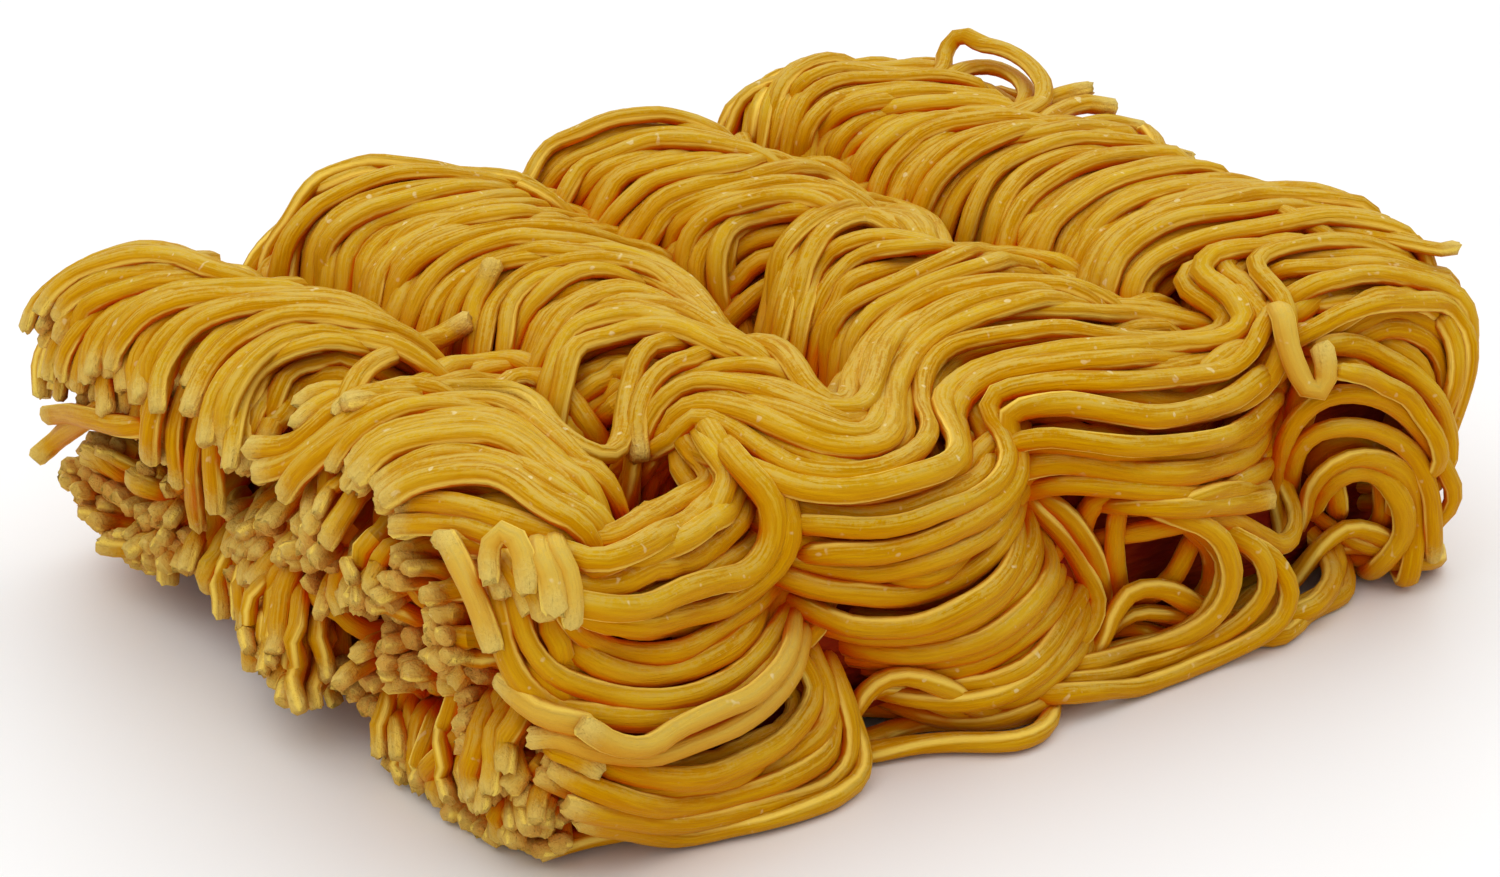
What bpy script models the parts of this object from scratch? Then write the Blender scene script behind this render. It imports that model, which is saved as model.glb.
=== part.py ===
"""A block of dried rice ramen noodles, as one solid out to its uneven outline.

The block is a bundle of long strands that was laid down in folds. It is cut
across at the ragged -X end, and its strands loop back at the rounded +X end.
Every fold makes a hump across the top, a rounded lobe on each side and a foot
on the ground, with a sharp valley on to the next fold.

Metres, +Z up, standing on Z = 0. The origin is the middle of the bottom.
"""

import math

import bmesh
import bpy
from mathutils import Vector, noise

# Driving dimensions of the finished outline
BLOCK_LENGTH = 0.1065
BLOCK_WIDTH = 0.081
BLOCK_HEIGHT = 0.034

# The folds: each one's share of the length, from the -X cut end
FOLD_LENGTHS = (0.0290, 0.0265, 0.0265, 0.0245)
UPPER_LEAN = 0.30
LOWER_LEAN = 0.70
BACK_SLANT = 0.0030
CREST_SHARPNESS = 0.55
TOP_VALLEY = 0.0100
BOTTOM_VALLEY = 0.0045
FRONT_VALLEY = 0.0090
BACK_VALLEY = 0.0050

# The outline of the bundle
UPPER_EDGE_RADIUS = 0.0095
LOWER_EDGE_RADIUS = 0.0060
NEAR_END_RADIUS = 0.0050
FAR_END_RADIUS = 0.0085
BACK_RISE = 0.0045
FIRST_HUMP_DROP = 0.0080
NEAR_LIFT = 0.0025
LIFTED_CORNER = 0.0085
LIFTED_LENGTH = 0.025
DROP_AT_MIDDLE = 0.50
LIFT_AT_MIDDLE = 0.45
END_RECESS = 0.0030
RECESS_HEIGHT = 0.0155
RECESS_SPREAD = 0.0035
UNEVENNESS = 0.0011
UNEVEN_SCALE = 0.013
UNEVEN_PLACE_Y = Vector((3.1, 0.0, 0.0))
UNEVEN_PLACE_Z = Vector((0.0, 5.7, 0.0))
FOOT_PRESS = 0.0015

# The mesh
CELLS_A_FOLD = 10
CELLS_ACROSS = 26
CELLS_UP = 11

NOODLE_COLOUR = (0.52, 0.26, 0.035, 1.0)
NOODLE_ROUGHNESS = 0.45


def clear_scene():
    for old in list(bpy.data.objects):
        bpy.data.objects.remove(old, do_unlink=True)


def clamp(value, low, high):
    return max(low, min(high, value))


def smooth(value):
    """An ease from 0 to 1 as value goes from 0 to 1."""
    value = clamp(value, 0.0, 1.0)
    return value * value * (3.0 - 2.0 * value)


def across(at_middle, side):
    """An ease that grows to 1 from the front (side -1), past at_middle, to the back (side 1)."""
    return smooth(at_middle + (1.0 - at_middle) * side)


def noodle_material():
    material = bpy.data.materials.new("dried_rice_noodle")
    material.use_nodes = True
    shader = material.node_tree.nodes["Principled BSDF"]
    shader.inputs["Base Color"].default_value = NOODLE_COLOUR
    shader.inputs["Roughness"].default_value = NOODLE_ROUGHNESS
    shader.inputs["Metallic"].default_value = 0.0
    return material


def subdivided_box():
    """A unit box primitive, cut into cells along each axis."""
    mesh = bpy.data.meshes.new("noodle_block")
    bm = bmesh.new()
    bmesh.ops.create_cube(bm, size=1.0)
    cells_along = CELLS_A_FOLD * len(FOLD_LENGTHS)
    for axis, cells in ((0, cells_along), (1, CELLS_ACROSS), (2, CELLS_UP)):
        edges = [e for e in bm.edges if abs((e.verts[0].co - e.verts[1].co)[axis]) > 0.5]
        bmesh.ops.subdivide_edges(bm, edges=edges, cuts=cells - 1, use_grid_fill=True)
    bm.to_mesh(mesh)
    bm.free()
    return mesh


def along_folds(share):
    """The distance from the -X end, and the swell of the fold there.

    The swell is 1 on a fold's crest and 0 in the sharp valley between two.
    """
    place = clamp(share, 0.0, 1.0) * len(FOLD_LENGTHS)
    fold = min(int(place), len(FOLD_LENGTHS) - 1)
    within = place - fold
    distance = sum(FOLD_LENGTHS[:fold]) + within * FOLD_LENGTHS[fold]
    swell = math.sin(math.pi * within) ** CREST_SHARPNESS if 0.0 < within < 1.0 else 0.0
    return distance, swell


def round_section(y, z):
    """Move a point of the square section on to one with round edges."""
    radius = UPPER_EDGE_RADIUS if z > 0.0 else LOWER_EDGE_RADIUS
    inner_y = clamp(y, radius - BLOCK_WIDTH / 2, BLOCK_WIDTH / 2 - radius)
    inner_z = clamp(z, radius - BLOCK_HEIGHT / 2, BLOCK_HEIGHT / 2 - radius)
    out_y = y - inner_y
    out_z = z - inner_z
    reach = math.hypot(out_y, out_z)
    if reach == 0.0:
        return y, z
    pull = max(abs(out_y), abs(out_z)) / reach
    return inner_y + out_y * pull, inner_z + out_z * pull


def end_shrink(distance, length):
    """How far the section draws in at the rounded rim of each end."""
    near = 1.0 - clamp(distance / NEAR_END_RADIUS, 0.0, 1.0)
    far = 1.0 - clamp((length - distance) / FAR_END_RADIUS, 0.0, 1.0)
    near_draw = NEAR_END_RADIUS * (1.0 - math.sqrt(1.0 - near * near))
    far_draw = FAR_END_RADIUS * (1.0 - math.sqrt(1.0 - far * far))
    return near_draw + far_draw


def shape_point(point):
    """Take a point of the unit box to its place on the folded bundle."""
    length = sum(FOLD_LENGTHS)
    distance, swell = along_folds(point.x + 0.5)
    y, z = round_section(point.y * BLOCK_WIDTH, point.z * BLOCK_HEIGHT)
    side = y / (BLOCK_WIDTH / 2)
    rise = z / (BLOCK_HEIGHT / 2)

    # The half folds next to the two ends keep their swell.
    if distance < FOLD_LENGTHS[0] / 2 or distance > length - FOLD_LENGTHS[-1] / 2:
        swell = 1.0
    valley = 1.0 - swell
    shrink = end_shrink(distance, length)

    # The folds lean, and the lean dies away at the two ends.
    upright = min(distance, length - distance) / (FOLD_LENGTHS[0] / 2)
    lean = UPPER_LEAN if rise > 0.0 else LOWER_LEAN
    x = distance - length / 2 - (lean * z + BACK_SLANT * smooth(side)) * smooth(upright)

    side_valley = FRONT_VALLEY if side < 0.0 else BACK_VALLEY
    y -= side * abs(side) * (side_valley * valley + shrink)
    if rise > 0.0:
        z += rise * (BACK_RISE * side / 2 - TOP_VALLEY * valley - shrink)
    else:
        z -= rise * (BOTTOM_VALLEY * valley + shrink)

    # The first hump is lower, and its back corner is lifted off the ground.
    from_cut = 1.0 - smooth(distance / LIFTED_LENGTH)
    if rise > 0.0:
        z -= rise * FIRST_HUMP_DROP * from_cut * across(DROP_AT_MIDDLE, side)
    else:
        z -= rise * from_cut * (NEAR_LIFT + LIFTED_CORNER * across(LIFT_AT_MIDDLE, side))

    # The near cut end has a hollow between its upper and lower strands.
    level = (z + BLOCK_HEIGHT / 2 - RECESS_HEIGHT) / RECESS_SPREAD
    if distance == 0.0:
        x += END_RECESS * math.exp(-level * level)

    where = Vector((x, y, z)) / UNEVEN_SCALE
    x += UNEVENNESS * noise.noise(where)
    y += UNEVENNESS * noise.noise(where + UNEVEN_PLACE_Y)
    z += UNEVENNESS * noise.noise(where + UNEVEN_PLACE_Z)
    return Vector((x, y, max(z, FOOT_PRESS - BLOCK_HEIGHT / 2)))


def fit_to_size(mesh):
    """Bring the outline to the driving dimensions, standing on Z = 0."""
    size = (BLOCK_LENGTH, BLOCK_WIDTH, BLOCK_HEIGHT)
    start = (-BLOCK_LENGTH / 2, -BLOCK_WIDTH / 2, 0.0)
    for axis in range(3):
        places = [vertex.co[axis] for vertex in mesh.vertices]
        low = min(places)
        stretch = size[axis] / (max(places) - low)
        for vertex in mesh.vertices:
            vertex.co[axis] = start[axis] + (vertex.co[axis] - low) * stretch


def build_noodle_block(collection):
    mesh = subdivided_box()
    for vertex in mesh.vertices:
        vertex.co = shape_point(vertex.co)
    fit_to_size(mesh)
    mesh.shade_smooth()
    mesh.materials.append(noodle_material())
    block = bpy.data.objects.new("noodle_block", mesh)
    collection.objects.link(block)
    return block


def main():
    clear_scene()
    collection = bpy.data.collections.new("rice_ramen_block")
    bpy.context.scene.collection.children.link(collection)
    build_noodle_block(collection)


main()
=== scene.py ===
"""Looks of a block of dried rice ramen noodles: long golden strands over a dark core.

The strands that the photograph shows are laid along guide lines, traced as picture points and
carried on to the surface of the CAD block along the lines of sight. A family of guides is filled
with strands side by side, in one to three layers. The sides that the photograph doesn't show get
strands worked out by formula. Then the strands are pushed part of the way apart where they meet,
and become flattened ribbons.

Strand work is in millimetres, in the frame of the CAD model; meshes are in metres.
"""

import math  # noqa: E402

import bpy  # noqa: E402
import numpy as np  # noqa: E402
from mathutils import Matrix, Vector  # noqa: E402
from mathutils.bvhtree import BVHTree  # noqa: E402


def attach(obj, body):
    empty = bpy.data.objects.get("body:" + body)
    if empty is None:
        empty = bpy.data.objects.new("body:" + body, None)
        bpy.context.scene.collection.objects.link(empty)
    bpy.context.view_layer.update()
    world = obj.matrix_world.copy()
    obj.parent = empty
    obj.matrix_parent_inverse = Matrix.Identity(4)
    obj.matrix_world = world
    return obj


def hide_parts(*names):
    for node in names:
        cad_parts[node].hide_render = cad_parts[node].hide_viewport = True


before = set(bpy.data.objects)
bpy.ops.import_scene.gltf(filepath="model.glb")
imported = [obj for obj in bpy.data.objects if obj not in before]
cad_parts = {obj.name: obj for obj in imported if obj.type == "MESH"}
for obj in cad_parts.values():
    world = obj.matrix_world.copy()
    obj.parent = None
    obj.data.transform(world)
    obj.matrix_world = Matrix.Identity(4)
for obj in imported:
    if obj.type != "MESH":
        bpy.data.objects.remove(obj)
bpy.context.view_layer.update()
NODE = "noodle_block"
MM = 0.001
UP = np.array([0.0, 0.0, 1.0])

# The photograph's camera, in the frame of the CAD model
PICTURE_WIDTH = 1500
PICTURE_HEIGHT = 877
SENSOR_MM = 36.0
LENS_MM = 96.0
CAMERA_PLACE = np.array([-204.17, -260.32, 147.45])
CAMERA_AZIMUTH = math.radians(-37.9)
CAMERA_ELEVATION = math.radians(22.1)
PIXELS_FOCAL = LENS_MM / SENSOR_MM * PICTURE_WIDTH
CLIP_START_M = 0.01

# The strands: their width, how far apart they are laid, and how unevenly
DIAMETER = 1.85
RADIUS = DIAMETER / 2
PITCH = 1.80
PITCHES = {"hump_1": 1.45, "hump_2": 1.40, "hump_3": 1.40, "hump_4": 1.40}
PITCH_BELOW = 1.95
RELIEF = 0.95
STEP = 1.25
LAYER_DEPTH = 1.9
SINK = 1.1
RAGGED_LENGTHS = (-1.9, 0.7)

# How far a strand of a family strays: between its neighbours, along its line, and in or out
DRIFT_SCALE = 12
DRIFT_SHARE = 0.16
JITTER_SHARE = 0.45
STRAY_SCALE = 10
STRAY_TOP = 0.10
STRAY_BELOW = 0.15
RELIEF_SCALE = 14
RELIEF_WANDER = 0.6 * RELIEF

# How firmly a strand keeps its place when strands are pushed apart
HOLD_SINGLE = 0.5
HOLD_TOP = 0.25
HOLD_BELOW = 0.1

# The folds of the CAD block: shares of its length, and how they lean
FOLD_LENGTHS = (29.0, 26.5, 26.5, 24.5)
UPPER_LEAN = 0.30
LOWER_LEAN = 0.70
MID_HEIGHT = 17.0

random = np.random.default_rng(20)


# ---------------- camera rays
def camera_axes():
    """Unit vectors forward, to the right and up, as the camera sees them."""
    back = np.array(
        [
            math.sin(CAMERA_AZIMUTH) * math.cos(CAMERA_ELEVATION),
            -math.cos(CAMERA_AZIMUTH) * math.cos(CAMERA_ELEVATION),
            math.sin(CAMERA_ELEVATION),
        ]
    )
    right = np.cross(-back, UP)
    right /= np.linalg.norm(right)
    return -back, right, np.cross(right, -back)


FORWARD, RIGHTWARD, UPWARD = camera_axes()


def sight_lines(picture):
    """Unit directions from the camera through picture points."""
    across = picture[:, :1] - PICTURE_WIDTH / 2
    down = picture[:, 1:] - PICTURE_HEIGHT / 2
    lines = FORWARD * PIXELS_FOCAL + RIGHTWARD * across - UPWARD * down
    return lines / np.linalg.norm(lines, axis=1, keepdims=True)


# ---------------- the CAD surface
SIGHT_NEAR = 260.0
SIGHT_FAR = 460.0
SIGHT_STEP = 1.5


class Surface:
    """The CAD block's surface, or one fold of it, as the thing that strands lie on."""

    def __init__(self, corners, faces):
        self.tree = BVHTree.FromPolygons([Vector(c) for c in corners], faces)

    def sight_hit(self, line):
        """How far along a sight line the surface faces the camera, or NaN."""
        hit = self.tree.ray_cast(Vector(CAMERA_PLACE), Vector(line))
        if hit[0] is None or hit[1].dot(Vector(line)) > 0:
            return math.nan
        return hit[3]

    def sight_distance(self, line):
        """How far along a sight line the surface is, or comes closest to it."""
        hit = self.sight_hit(line)
        if not math.isnan(hit):
            return hit
        best, best_gap = SIGHT_NEAR, math.inf
        for reach in np.arange(SIGHT_NEAR, SIGHT_FAR, SIGHT_STEP):
            gap = self.tree.find_nearest(Vector(CAMERA_PLACE + line * reach))[3]
            if gap < best_gap:
                best, best_gap = reach, gap
        return best

    def normal(self, point):
        """Which way the surface faces where it is nearest to a point."""
        return np.array(self.tree.find_nearest(Vector(point))[1])

    def cast(self, start, direction):
        """The first surface point from start, or None."""
        hit = self.tree.ray_cast(Vector(start), Vector(direction))
        return None if hit[0] is None else np.array(hit[0])


def lean_at(rise):
    """How a fold leans above or below the block's middle height."""
    return UPPER_LEAN if rise > 0 else LOWER_LEAN


def cad_surfaces():
    """The whole CAD surface, and that of each fold."""
    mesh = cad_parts[NODE].data
    mesh.calc_loop_triangles()
    corners = np.array([v.co for v in mesh.vertices]) / MM
    faces = [tuple(t.vertices) for t in mesh.loop_triangles]
    fold_ends = np.cumsum(FOLD_LENGTHS) - sum(FOLD_LENGTHS) / 2
    by_fold = [[] for _ in FOLD_LENGTHS]
    for face in faces:
        middle = corners[list(face)].mean(axis=0)
        rise = middle[2] - MID_HEIGHT
        fold = int(np.searchsorted(fold_ends[:-1], middle[0] + lean_at(rise) * rise))
        by_fold[fold].append(face)
    return Surface(corners, faces), [Surface(corners, part) for part in by_fold]


WHOLE, FOLDS = cad_surfaces()


# ---------------- lines
GUIDE_SPAN_POINTS = 12
WANDER_SPAN_POINTS = 8


def catmull_rom(knots, per_span):
    """A smooth line through the knots."""
    ends = np.vstack([2 * knots[0] - knots[1], knots, 2 * knots[-1] - knots[-2]])
    t = np.linspace(0, 1, per_span, endpoint=False)[:, None]
    pieces = []
    for a, b, c, d in zip(ends[:-3], ends[1:-2], ends[2:-1], ends[3:]):
        bend = (2 * a - 5 * b + 4 * c - d) * t**2 + (3 * b - a - 3 * c + d) * t**3
        pieces.append(0.5 * (2 * b + (c - a) * t + bend))
    return np.vstack([*pieces, knots[-1:]])


def lengths_along(points):
    return np.concatenate([[0], np.cumsum(np.linalg.norm(np.diff(points, axis=0), axis=1))])


def resampled(points, count):
    """The same line with count points, evenly spaced."""
    along = lengths_along(points)
    places = np.linspace(0, along[-1], count)
    return np.stack([np.interp(places, along, points[:, k]) for k in range(points.shape[1])], axis=1)


def even(points):
    """The same line with points about a step apart."""
    return resampled(points, max(4, int(round(lengths_along(points)[-1] / STEP)) + 1))


def blurred(values, width):
    """Values along a line, smoothed over a width counted in samples."""
    reach = int(3 * width)
    weights = np.exp(-0.5 * (np.arange(-reach, reach + 1) / width) ** 2)
    padded = np.concatenate([np.repeat(values[:1], reach), values, np.repeat(values[-1:], reach)])
    return np.convolve(padded, weights / weights.sum(), mode="valid")


def wander(count, scale, size):
    """A slow random drift along a line of count points."""
    knots = max(4, int(count / scale) + 3)
    drift = catmull_rom(random.normal(0, 1, (knots, 1)), WANDER_SPAN_POINTS)[:, 0]
    places = np.linspace(0, WANDER_SPAN_POINTS * (knots - 1) - 1, count)
    return size * drift[places.astype(int)]


def stray(line, scale, size):
    """Let a line wander in every direction."""
    for k in range(3):
        line[:, k] += wander(len(line), scale, size)


# ---------------- guides from the picture
GUIDE_SPACING_PX = 5.0
GUIDE_POINTS = 44
GAP_SHARE = 66


def picture_lines(text):
    """The lines written as x,y picture points, with a semicolon between lines."""
    return [
        np.array([[float(value) for value in point.split(",")] for point in line.split()])
        for line in text.split(";")
    ]


def surface_reach(surface, sights, blur):
    """How far along each sight line the surface is, smoothed along the guide."""
    reach = np.array([surface.sight_hit(s) for s in sights])
    missed = np.isnan(reach)
    if missed.all():
        reach = np.array([surface.sight_distance(s) for s in sights])
    else:
        at = np.arange(len(reach))
        reach[missed] = np.interp(at[missed], at[~missed], reach[~missed])
    return blurred(reach, blur / GUIDE_SPACING_PX)


def guide_in_space(picture, surface, blur, lift, height=None, slope=None):
    """A line of picture points, carried on to a surface along the lines of sight.

    With a height it lies in a level plane instead; with a slope it starts on the surface
    and goes back by that many mm for each mm across the picture.
    """
    line = catmull_rom(picture, GUIDE_SPAN_POINTS)
    line = resampled(line, max(6, int(lengths_along(line)[-1] / GUIDE_SPACING_PX)))
    sights = sight_lines(line)
    if height is not None:
        reach = (height - CAMERA_PLACE[2]) / sights[:, 2]
    elif slope is not None:
        start = surface.sight_distance(sights[0])
        reach = start + SINK - lift + slope * lengths_along(line) * start / PIXELS_FOCAL
    else:
        reach = surface_reach(surface, sights, blur) + SINK - lift
    return CAMERA_PLACE + sights * reach[:, None]


# ---------------- strands
# Where a strand goes when it leaves the picture: which way, how far in mm, and how sharply
CUT = None
OVER = ((0.5, -0.05, -1.0), 16.0, 0.28)
DOWN = ((0.0, 0.1, -1.0), 14.0, 0.28)
UNDER = ((-1.0, 0.0, -0.1), 7.0, 0.8)
AWAY = (tuple(FORWARD), 9.0, 0.55)
DIVE = ((0.3, 0.3, -1.0), 9.0, 0.8)
ROUND = ((-0.35, 0.1, -1.0), 13.0, 0.6)
INWARD = ((0.0, -0.6, -0.8), 8.0, 0.6)
ASIDE = ((-0.15, 1.0, -0.25), 14.0, 0.5)
BEHIND = (tuple(FORWARD), 8.0, 2.0)

strands = []


class Strand:
    """One strand: its line, what holds it in place, and which ends are cut."""

    def __init__(self, points, group, cut=(False, False), hold=HOLD_BELOW, seen=False, dry=False):
        self.points = even(np.array(points))
        self.group = group
        self.cut = cut
        self.hold = hold
        self.seen = seen
        self.dry = dry


def lead(start, heading, end):
    """Points that turn from heading towards a direction, out of sight."""
    toward, distance, turn = end
    place, way = np.array(start), np.array(heading)
    toward = np.array(toward) / np.linalg.norm(toward)
    points = []
    for _ in range(int(distance / STEP)):
        way = way + turn * toward
        way /= np.linalg.norm(way)
        place = place + way * STEP
        points.append(place)
    return points


def finished_end(line, at_head, end, ragged=True):
    """The line with one end cut, or led on out of sight."""
    if at_head:
        return finished_end(line[::-1], False, end, ragged)[::-1]
    heading = line[-1] - line[-4]
    heading /= np.linalg.norm(heading)
    if end is CUT and not ragged:
        return line
    if end is CUT:
        change = random.uniform(*RAGGED_LENGTHS)
        if change > 0:
            return np.vstack([line, line[-1] + heading * change])
        along = lengths_along(line)
        return line[along < along[-1] + change]
    return np.vstack([line, *lead(line[-1], heading, end)])


def finished(line, ends, ragged=True):
    """The line with both its ends cut, or led on out of sight."""
    return finished_end(finished_end(line, True, ends[0], ragged), False, ends[1], ragged)


def are_cut(ends):
    return ends[0] is CUT, ends[1] is CUT


def surface_of(fold):
    return WHOLE if fold is None else FOLDS[fold]


def singles(
    group, guides, fold=None, ends=(DOWN, OVER), lift=0.0, blur=18.0, height=None, slope=None, dry=False
):
    """Strands on their own, one to each picture line."""
    for picture in picture_lines(guides):
        line = guide_in_space(picture, surface_of(fold), blur, lift, height, slope)
        line = finished(even(line), ends, ragged=False)
        strands.append(Strand(line, group, are_cut(ends), HOLD_SINGLE, True, dry))


def strand_places(lines, pitch):
    """Where strands go between guides, about a pitch apart, counted in guides."""
    places = [0.0]
    for index in range(len(lines) - 1):
        gap = np.percentile(np.linalg.norm(lines[index + 1] - lines[index], axis=1), GAP_SHARE)
        count = max(1, int(round(gap / pitch)))
        places += [index + (k + 1) / count for k in range(count)]
    return places


def family(
    group, guides, fold=None, ends=(DOWN, OVER), lift=0.0, blur=18.0, layers=2, slope=None, pitch=None
):
    """Strands side by side between picture guides, with more layers below."""
    surface = surface_of(fold)
    pitch = pitch or PITCHES.get(group, PITCH)
    lines = [guide_in_space(g, surface, blur, lift, slope=slope) for g in picture_lines(guides)]
    lines = np.array([resampled(line, GUIDE_POINTS) for line in lines])
    for layer in range(layers):
        places = strand_places(lines, pitch if layer == 0 else PITCH_BELOW)
        spacing = 1.0 / max(1.0, len(places) / max(1, len(lines) - 1))
        shift = layer * spacing / 2
        for place in places:
            drift = wander(GUIDE_POINTS, DRIFT_SCALE, DRIFT_SHARE * spacing)
            drift = drift + random.uniform(-JITTER_SHARE, JITTER_SHARE) * spacing
            spots = np.clip(place + shift + drift, 0, len(lines) - 1)
            lay_strand(group, lines, spots, layer, ends, None if slope is not None else surface)


def lay_strand(group, lines, places, layer, ends, surface):
    """One strand of a family, at the given places between its guides."""
    low = np.clip(places.astype(int), 0, max(0, len(lines) - 2))
    share = (places - low)[:, None]
    rows = np.arange(lines.shape[1])
    line = lines[low, rows] * (1 - share) + lines[np.minimum(low + 1, len(lines) - 1), rows] * share
    if layer and surface is None:
        line = line + FORWARD * LAYER_DEPTH * layer
    elif layer:
        line = line - np.array([surface.normal(p) for p in line]) * LAYER_DEPTH * layer
    stray(line, STRAY_SCALE, STRAY_TOP + STRAY_BELOW * layer)
    relief = random.normal(0, RELIEF) + wander(len(line), RELIEF_SCALE, RELIEF_WANDER)
    line = finished(line + FORWARD * relief[:, None], ends)
    hold = HOLD_TOP if layer == 0 else HOLD_BELOW
    strands.append(Strand(line, group, are_cut(ends), hold, layer == 0))


# ---------------- traced guides
# The first hump, the shoulder in front of it, and the first lobe
HUMP_1_ARCHES = """
28,335 36,308 55,285 85,266 120,256 155,254 190,260 215,271 245,281;
62,335 68,315 88,296 116,284 150,280 190,282 225,288 262,294;
95,388 97,352 112,326 140,306 175,296 225,290 275,291;
128,392 124,362 138,334 166,311 205,301 255,299 310,302 345,308;
158,405 156,372 172,342 200,320 240,309 290,305 340,310 372,320;
192,410 205,372 225,346 258,328 300,318 350,322 392,336;
226,462 226,420 238,386 258,360 290,340 330,335 365,342 395,350;
244,470 244,425 256,390 274,364 300,349 335,345 372,352
"""
HUMP_1_UNDER_ARCHES = """
38,388 40,360 52,328 75,300 110,280 150,270;
62,400 66,368 82,332 108,305 145,290 190,288;
102,408 104,375 120,340 148,315 185,302 235,298;
140,428 142,392 156,355 182,328 222,313 270,308;
158,468 156,425 163,388 184,350 220,325 270,315;
180,480 176,440 184,398 206,358 243,334 300,326
"""
HUMP_1_INNER_ENDS = """
216,508 214,478 213,450 220,415 235,385 258,362;
198,526 194,500 192,470 196,440 206,410 222,385
"""
SHOULDER_TOP = """
283,417 300,403 317,393 348,391 380,390 417,384 464,368 509,362 540,370 561,393;
330,425 355,405 405,393 458,384 505,384 530,393 548,412 566,425
"""
SHOULDER_LOOSE_ENDS = """
250,448 290,447 316,428 335,412 365,398 405,388;
258,472 290,463 320,445 350,420 380,405;
284,495 300,472 325,452 350,435 385,418
"""
SHOULDER_LONG_STRAND = """
339,412 360,396 405,393 458,388 510,390 537,404 553,425 574,443 600,455 616,451 625,435 628,414 632,385
638,360 655,343 678,341
"""
VALLEY_ARCH = """
640,457 636,432 640,408 650,385 668,368 692,360
"""
VALLEY_FILL = """
550,398 575,380 598,369 628,362;
562,412 585,395 604,384 628,374;
576,424 595,409 610,396 630,386;
590,436 606,421 616,407 632,398
"""
SHOULDER_FRONT = """
312,480 334,450 362,426 400,408 445,402 490,404 525,418 552,440 575,462 595,470;
345,464 363,440 387,425 418,417 458,413 497,414 524,427 545,448 563,467 582,478;
355,485 379,456 405,443 437,435 471,434 500,440 526,451 545,467 572,490;
370,490 392,477 418,462 447,455 484,455 511,462 537,480 563,496 585,508;
371,509 395,496 426,480 458,474 495,475 521,487 547,505 574,522
"""
LOBE_1_TOP = """
389,514 410,505 437,506 471,512 505,522 537,535 568,543 603,541 637,527 668,512 695,498 713,483 711,464
695,448 684,433;
397,527 432,527 471,533 520,548 555,562 579,569 603,564 637,551 668,538 695,522 718,501 728,485 724,466
712,450;
545,575 579,583 613,574 647,558 678,542 707,524 728,500 736,482 731,468 720,452
"""
LOBE_1_UPPER = """
590,605 640,595 678,582 715,566 744,537 755,510 749,489 742,474 730,462;
575,600 613,607 647,604 678,590 718,578 755,561 776,537 781,510 770,492 755,479 744,471;
562,600 584,612 613,619 647,623 686,617 723,605 755,584 781,558 790,530 786,508 775,492
"""
LOBE_1_MIDDLE = """
560,600 572,626 600,648 640,657 680,652 715,636 750,608 778,577 790,548;
540,600 550,632 575,662 615,679 655,682 700,670 740,645 775,605 791,570;
520,600 530,642 555,677 600,697 650,703 700,695 745,670 780,628 793,590;
500,605 508,650 535,692 580,712 640,720 700,712 750,687 785,650 797,610
"""
LOBE_1_DRY_STRAND = """
582,725 613,744 647,747 678,728 718,710 749,697 776,673 789,649 794,620
"""
LOBE_1_LOW_DRY_STRAND = """
533,739 560,739 599,752 652,757 692,744 731,728 765,705 790,675 800,640
"""
LOBE_1_LOWEST = """
560,745 590,762 626,770 665,778 705,778 744,763 778,744 805,718 817,692 810,671 797,652;
540,765 586,784 626,794 665,803 705,801 757,789 797,773 828,752 836,718 828,686 818,663;
550,790 573,805 613,818 665,825 705,822 744,815 797,800 831,782 849,760 850,725 835,690;
565,812 600,826 640,833 700,832 770,833 810,825 839,807 860,784 865,760 857,734 845,705
"""

# Loose cut ends near the cut end
HANGING_HOOK = """
491,577 489,556 494,538 507,531 518,541 525,560 528,588
"""
HANGING_ENDS = """
541,556 549,570 553,588 556,610;
556,552 567,570 572,595 571,624
"""
SHORT_HANGING_ENDS = """
508,568 517,580 526,594 530,607;
498,568 501,580 506,593;
524,566 534,582 542,598 546,615
"""
SLANTING_STRAND = """
446,537 463,570 480,608 494,648
"""
LOW_STUB = """
501,681 522,697 543,713 575,722
"""
LOWEST_STUB = """
560,752 580,758 597,770
"""
HUMP_1_CROSSING = """
350,395 365,370 395,352 430,342 468,322
"""
HUMP_2_LOOSE_END = """
493,264 483,287 472,311 477,340 475,355
"""
CUT_CORNER_END = """
139,428 118,425 79,415 47,415
"""
CUT_CORNER_LOW_END = """
100,410 74,425 39,456
"""

# The second hump and lobe, and the loops on the ground
HUMP_2_ARCHES = """
256,272 269,245 283,227 298,203 319,186 348,174 380,168 412,170 443,176 483,178 512,183;
312,282 314,250 327,227 351,211 369,206 404,193 443,186 483,190 520,200;
362,287 364,261 383,237 412,224 456,216 509,207 554,210 590,224;
391,314 404,282 430,256 464,240 509,231 562,232 598,243 638,248 664,261;
427,329 438,298 459,274 490,258 535,252 567,258 612,258 651,269 685,290 706,314;
488,335 496,303 519,277 548,264 590,262 640,272 680,292 712,322;
527,350 540,316 567,295 598,279 622,274 648,282 680,300 715,330;
546,360 562,322 585,306 617,295 643,298 669,308 700,322 725,338;
554,380 569,340 598,324 638,316 677,324 712,343 740,350;
562,405 572,366 598,346 635,335 680,335 720,344 748,356
"""
LOBE_2_BENDS = """
638,455 640,430 645,405 665,379 697,360 731,350 760,347 780,356 795,377 812,396 835,410 855,402 863,374
874,347 903,316 942,295 995,287 1060,288;
649,430 656,410 676,395 707,387 730,393 760,410 797,426 830,440 862,446 880,436 883,411 887,379 897,353
929,324 968,305 1021,295 1075,297 1115,306;
675,432 690,411 720,411 747,418 776,431 810,447 849,458 885,452 899,436 896,411 898,385 910,360 932,336
960,321 1008,309 1061,306 1113,313 1166,316 1205,324
"""
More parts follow.
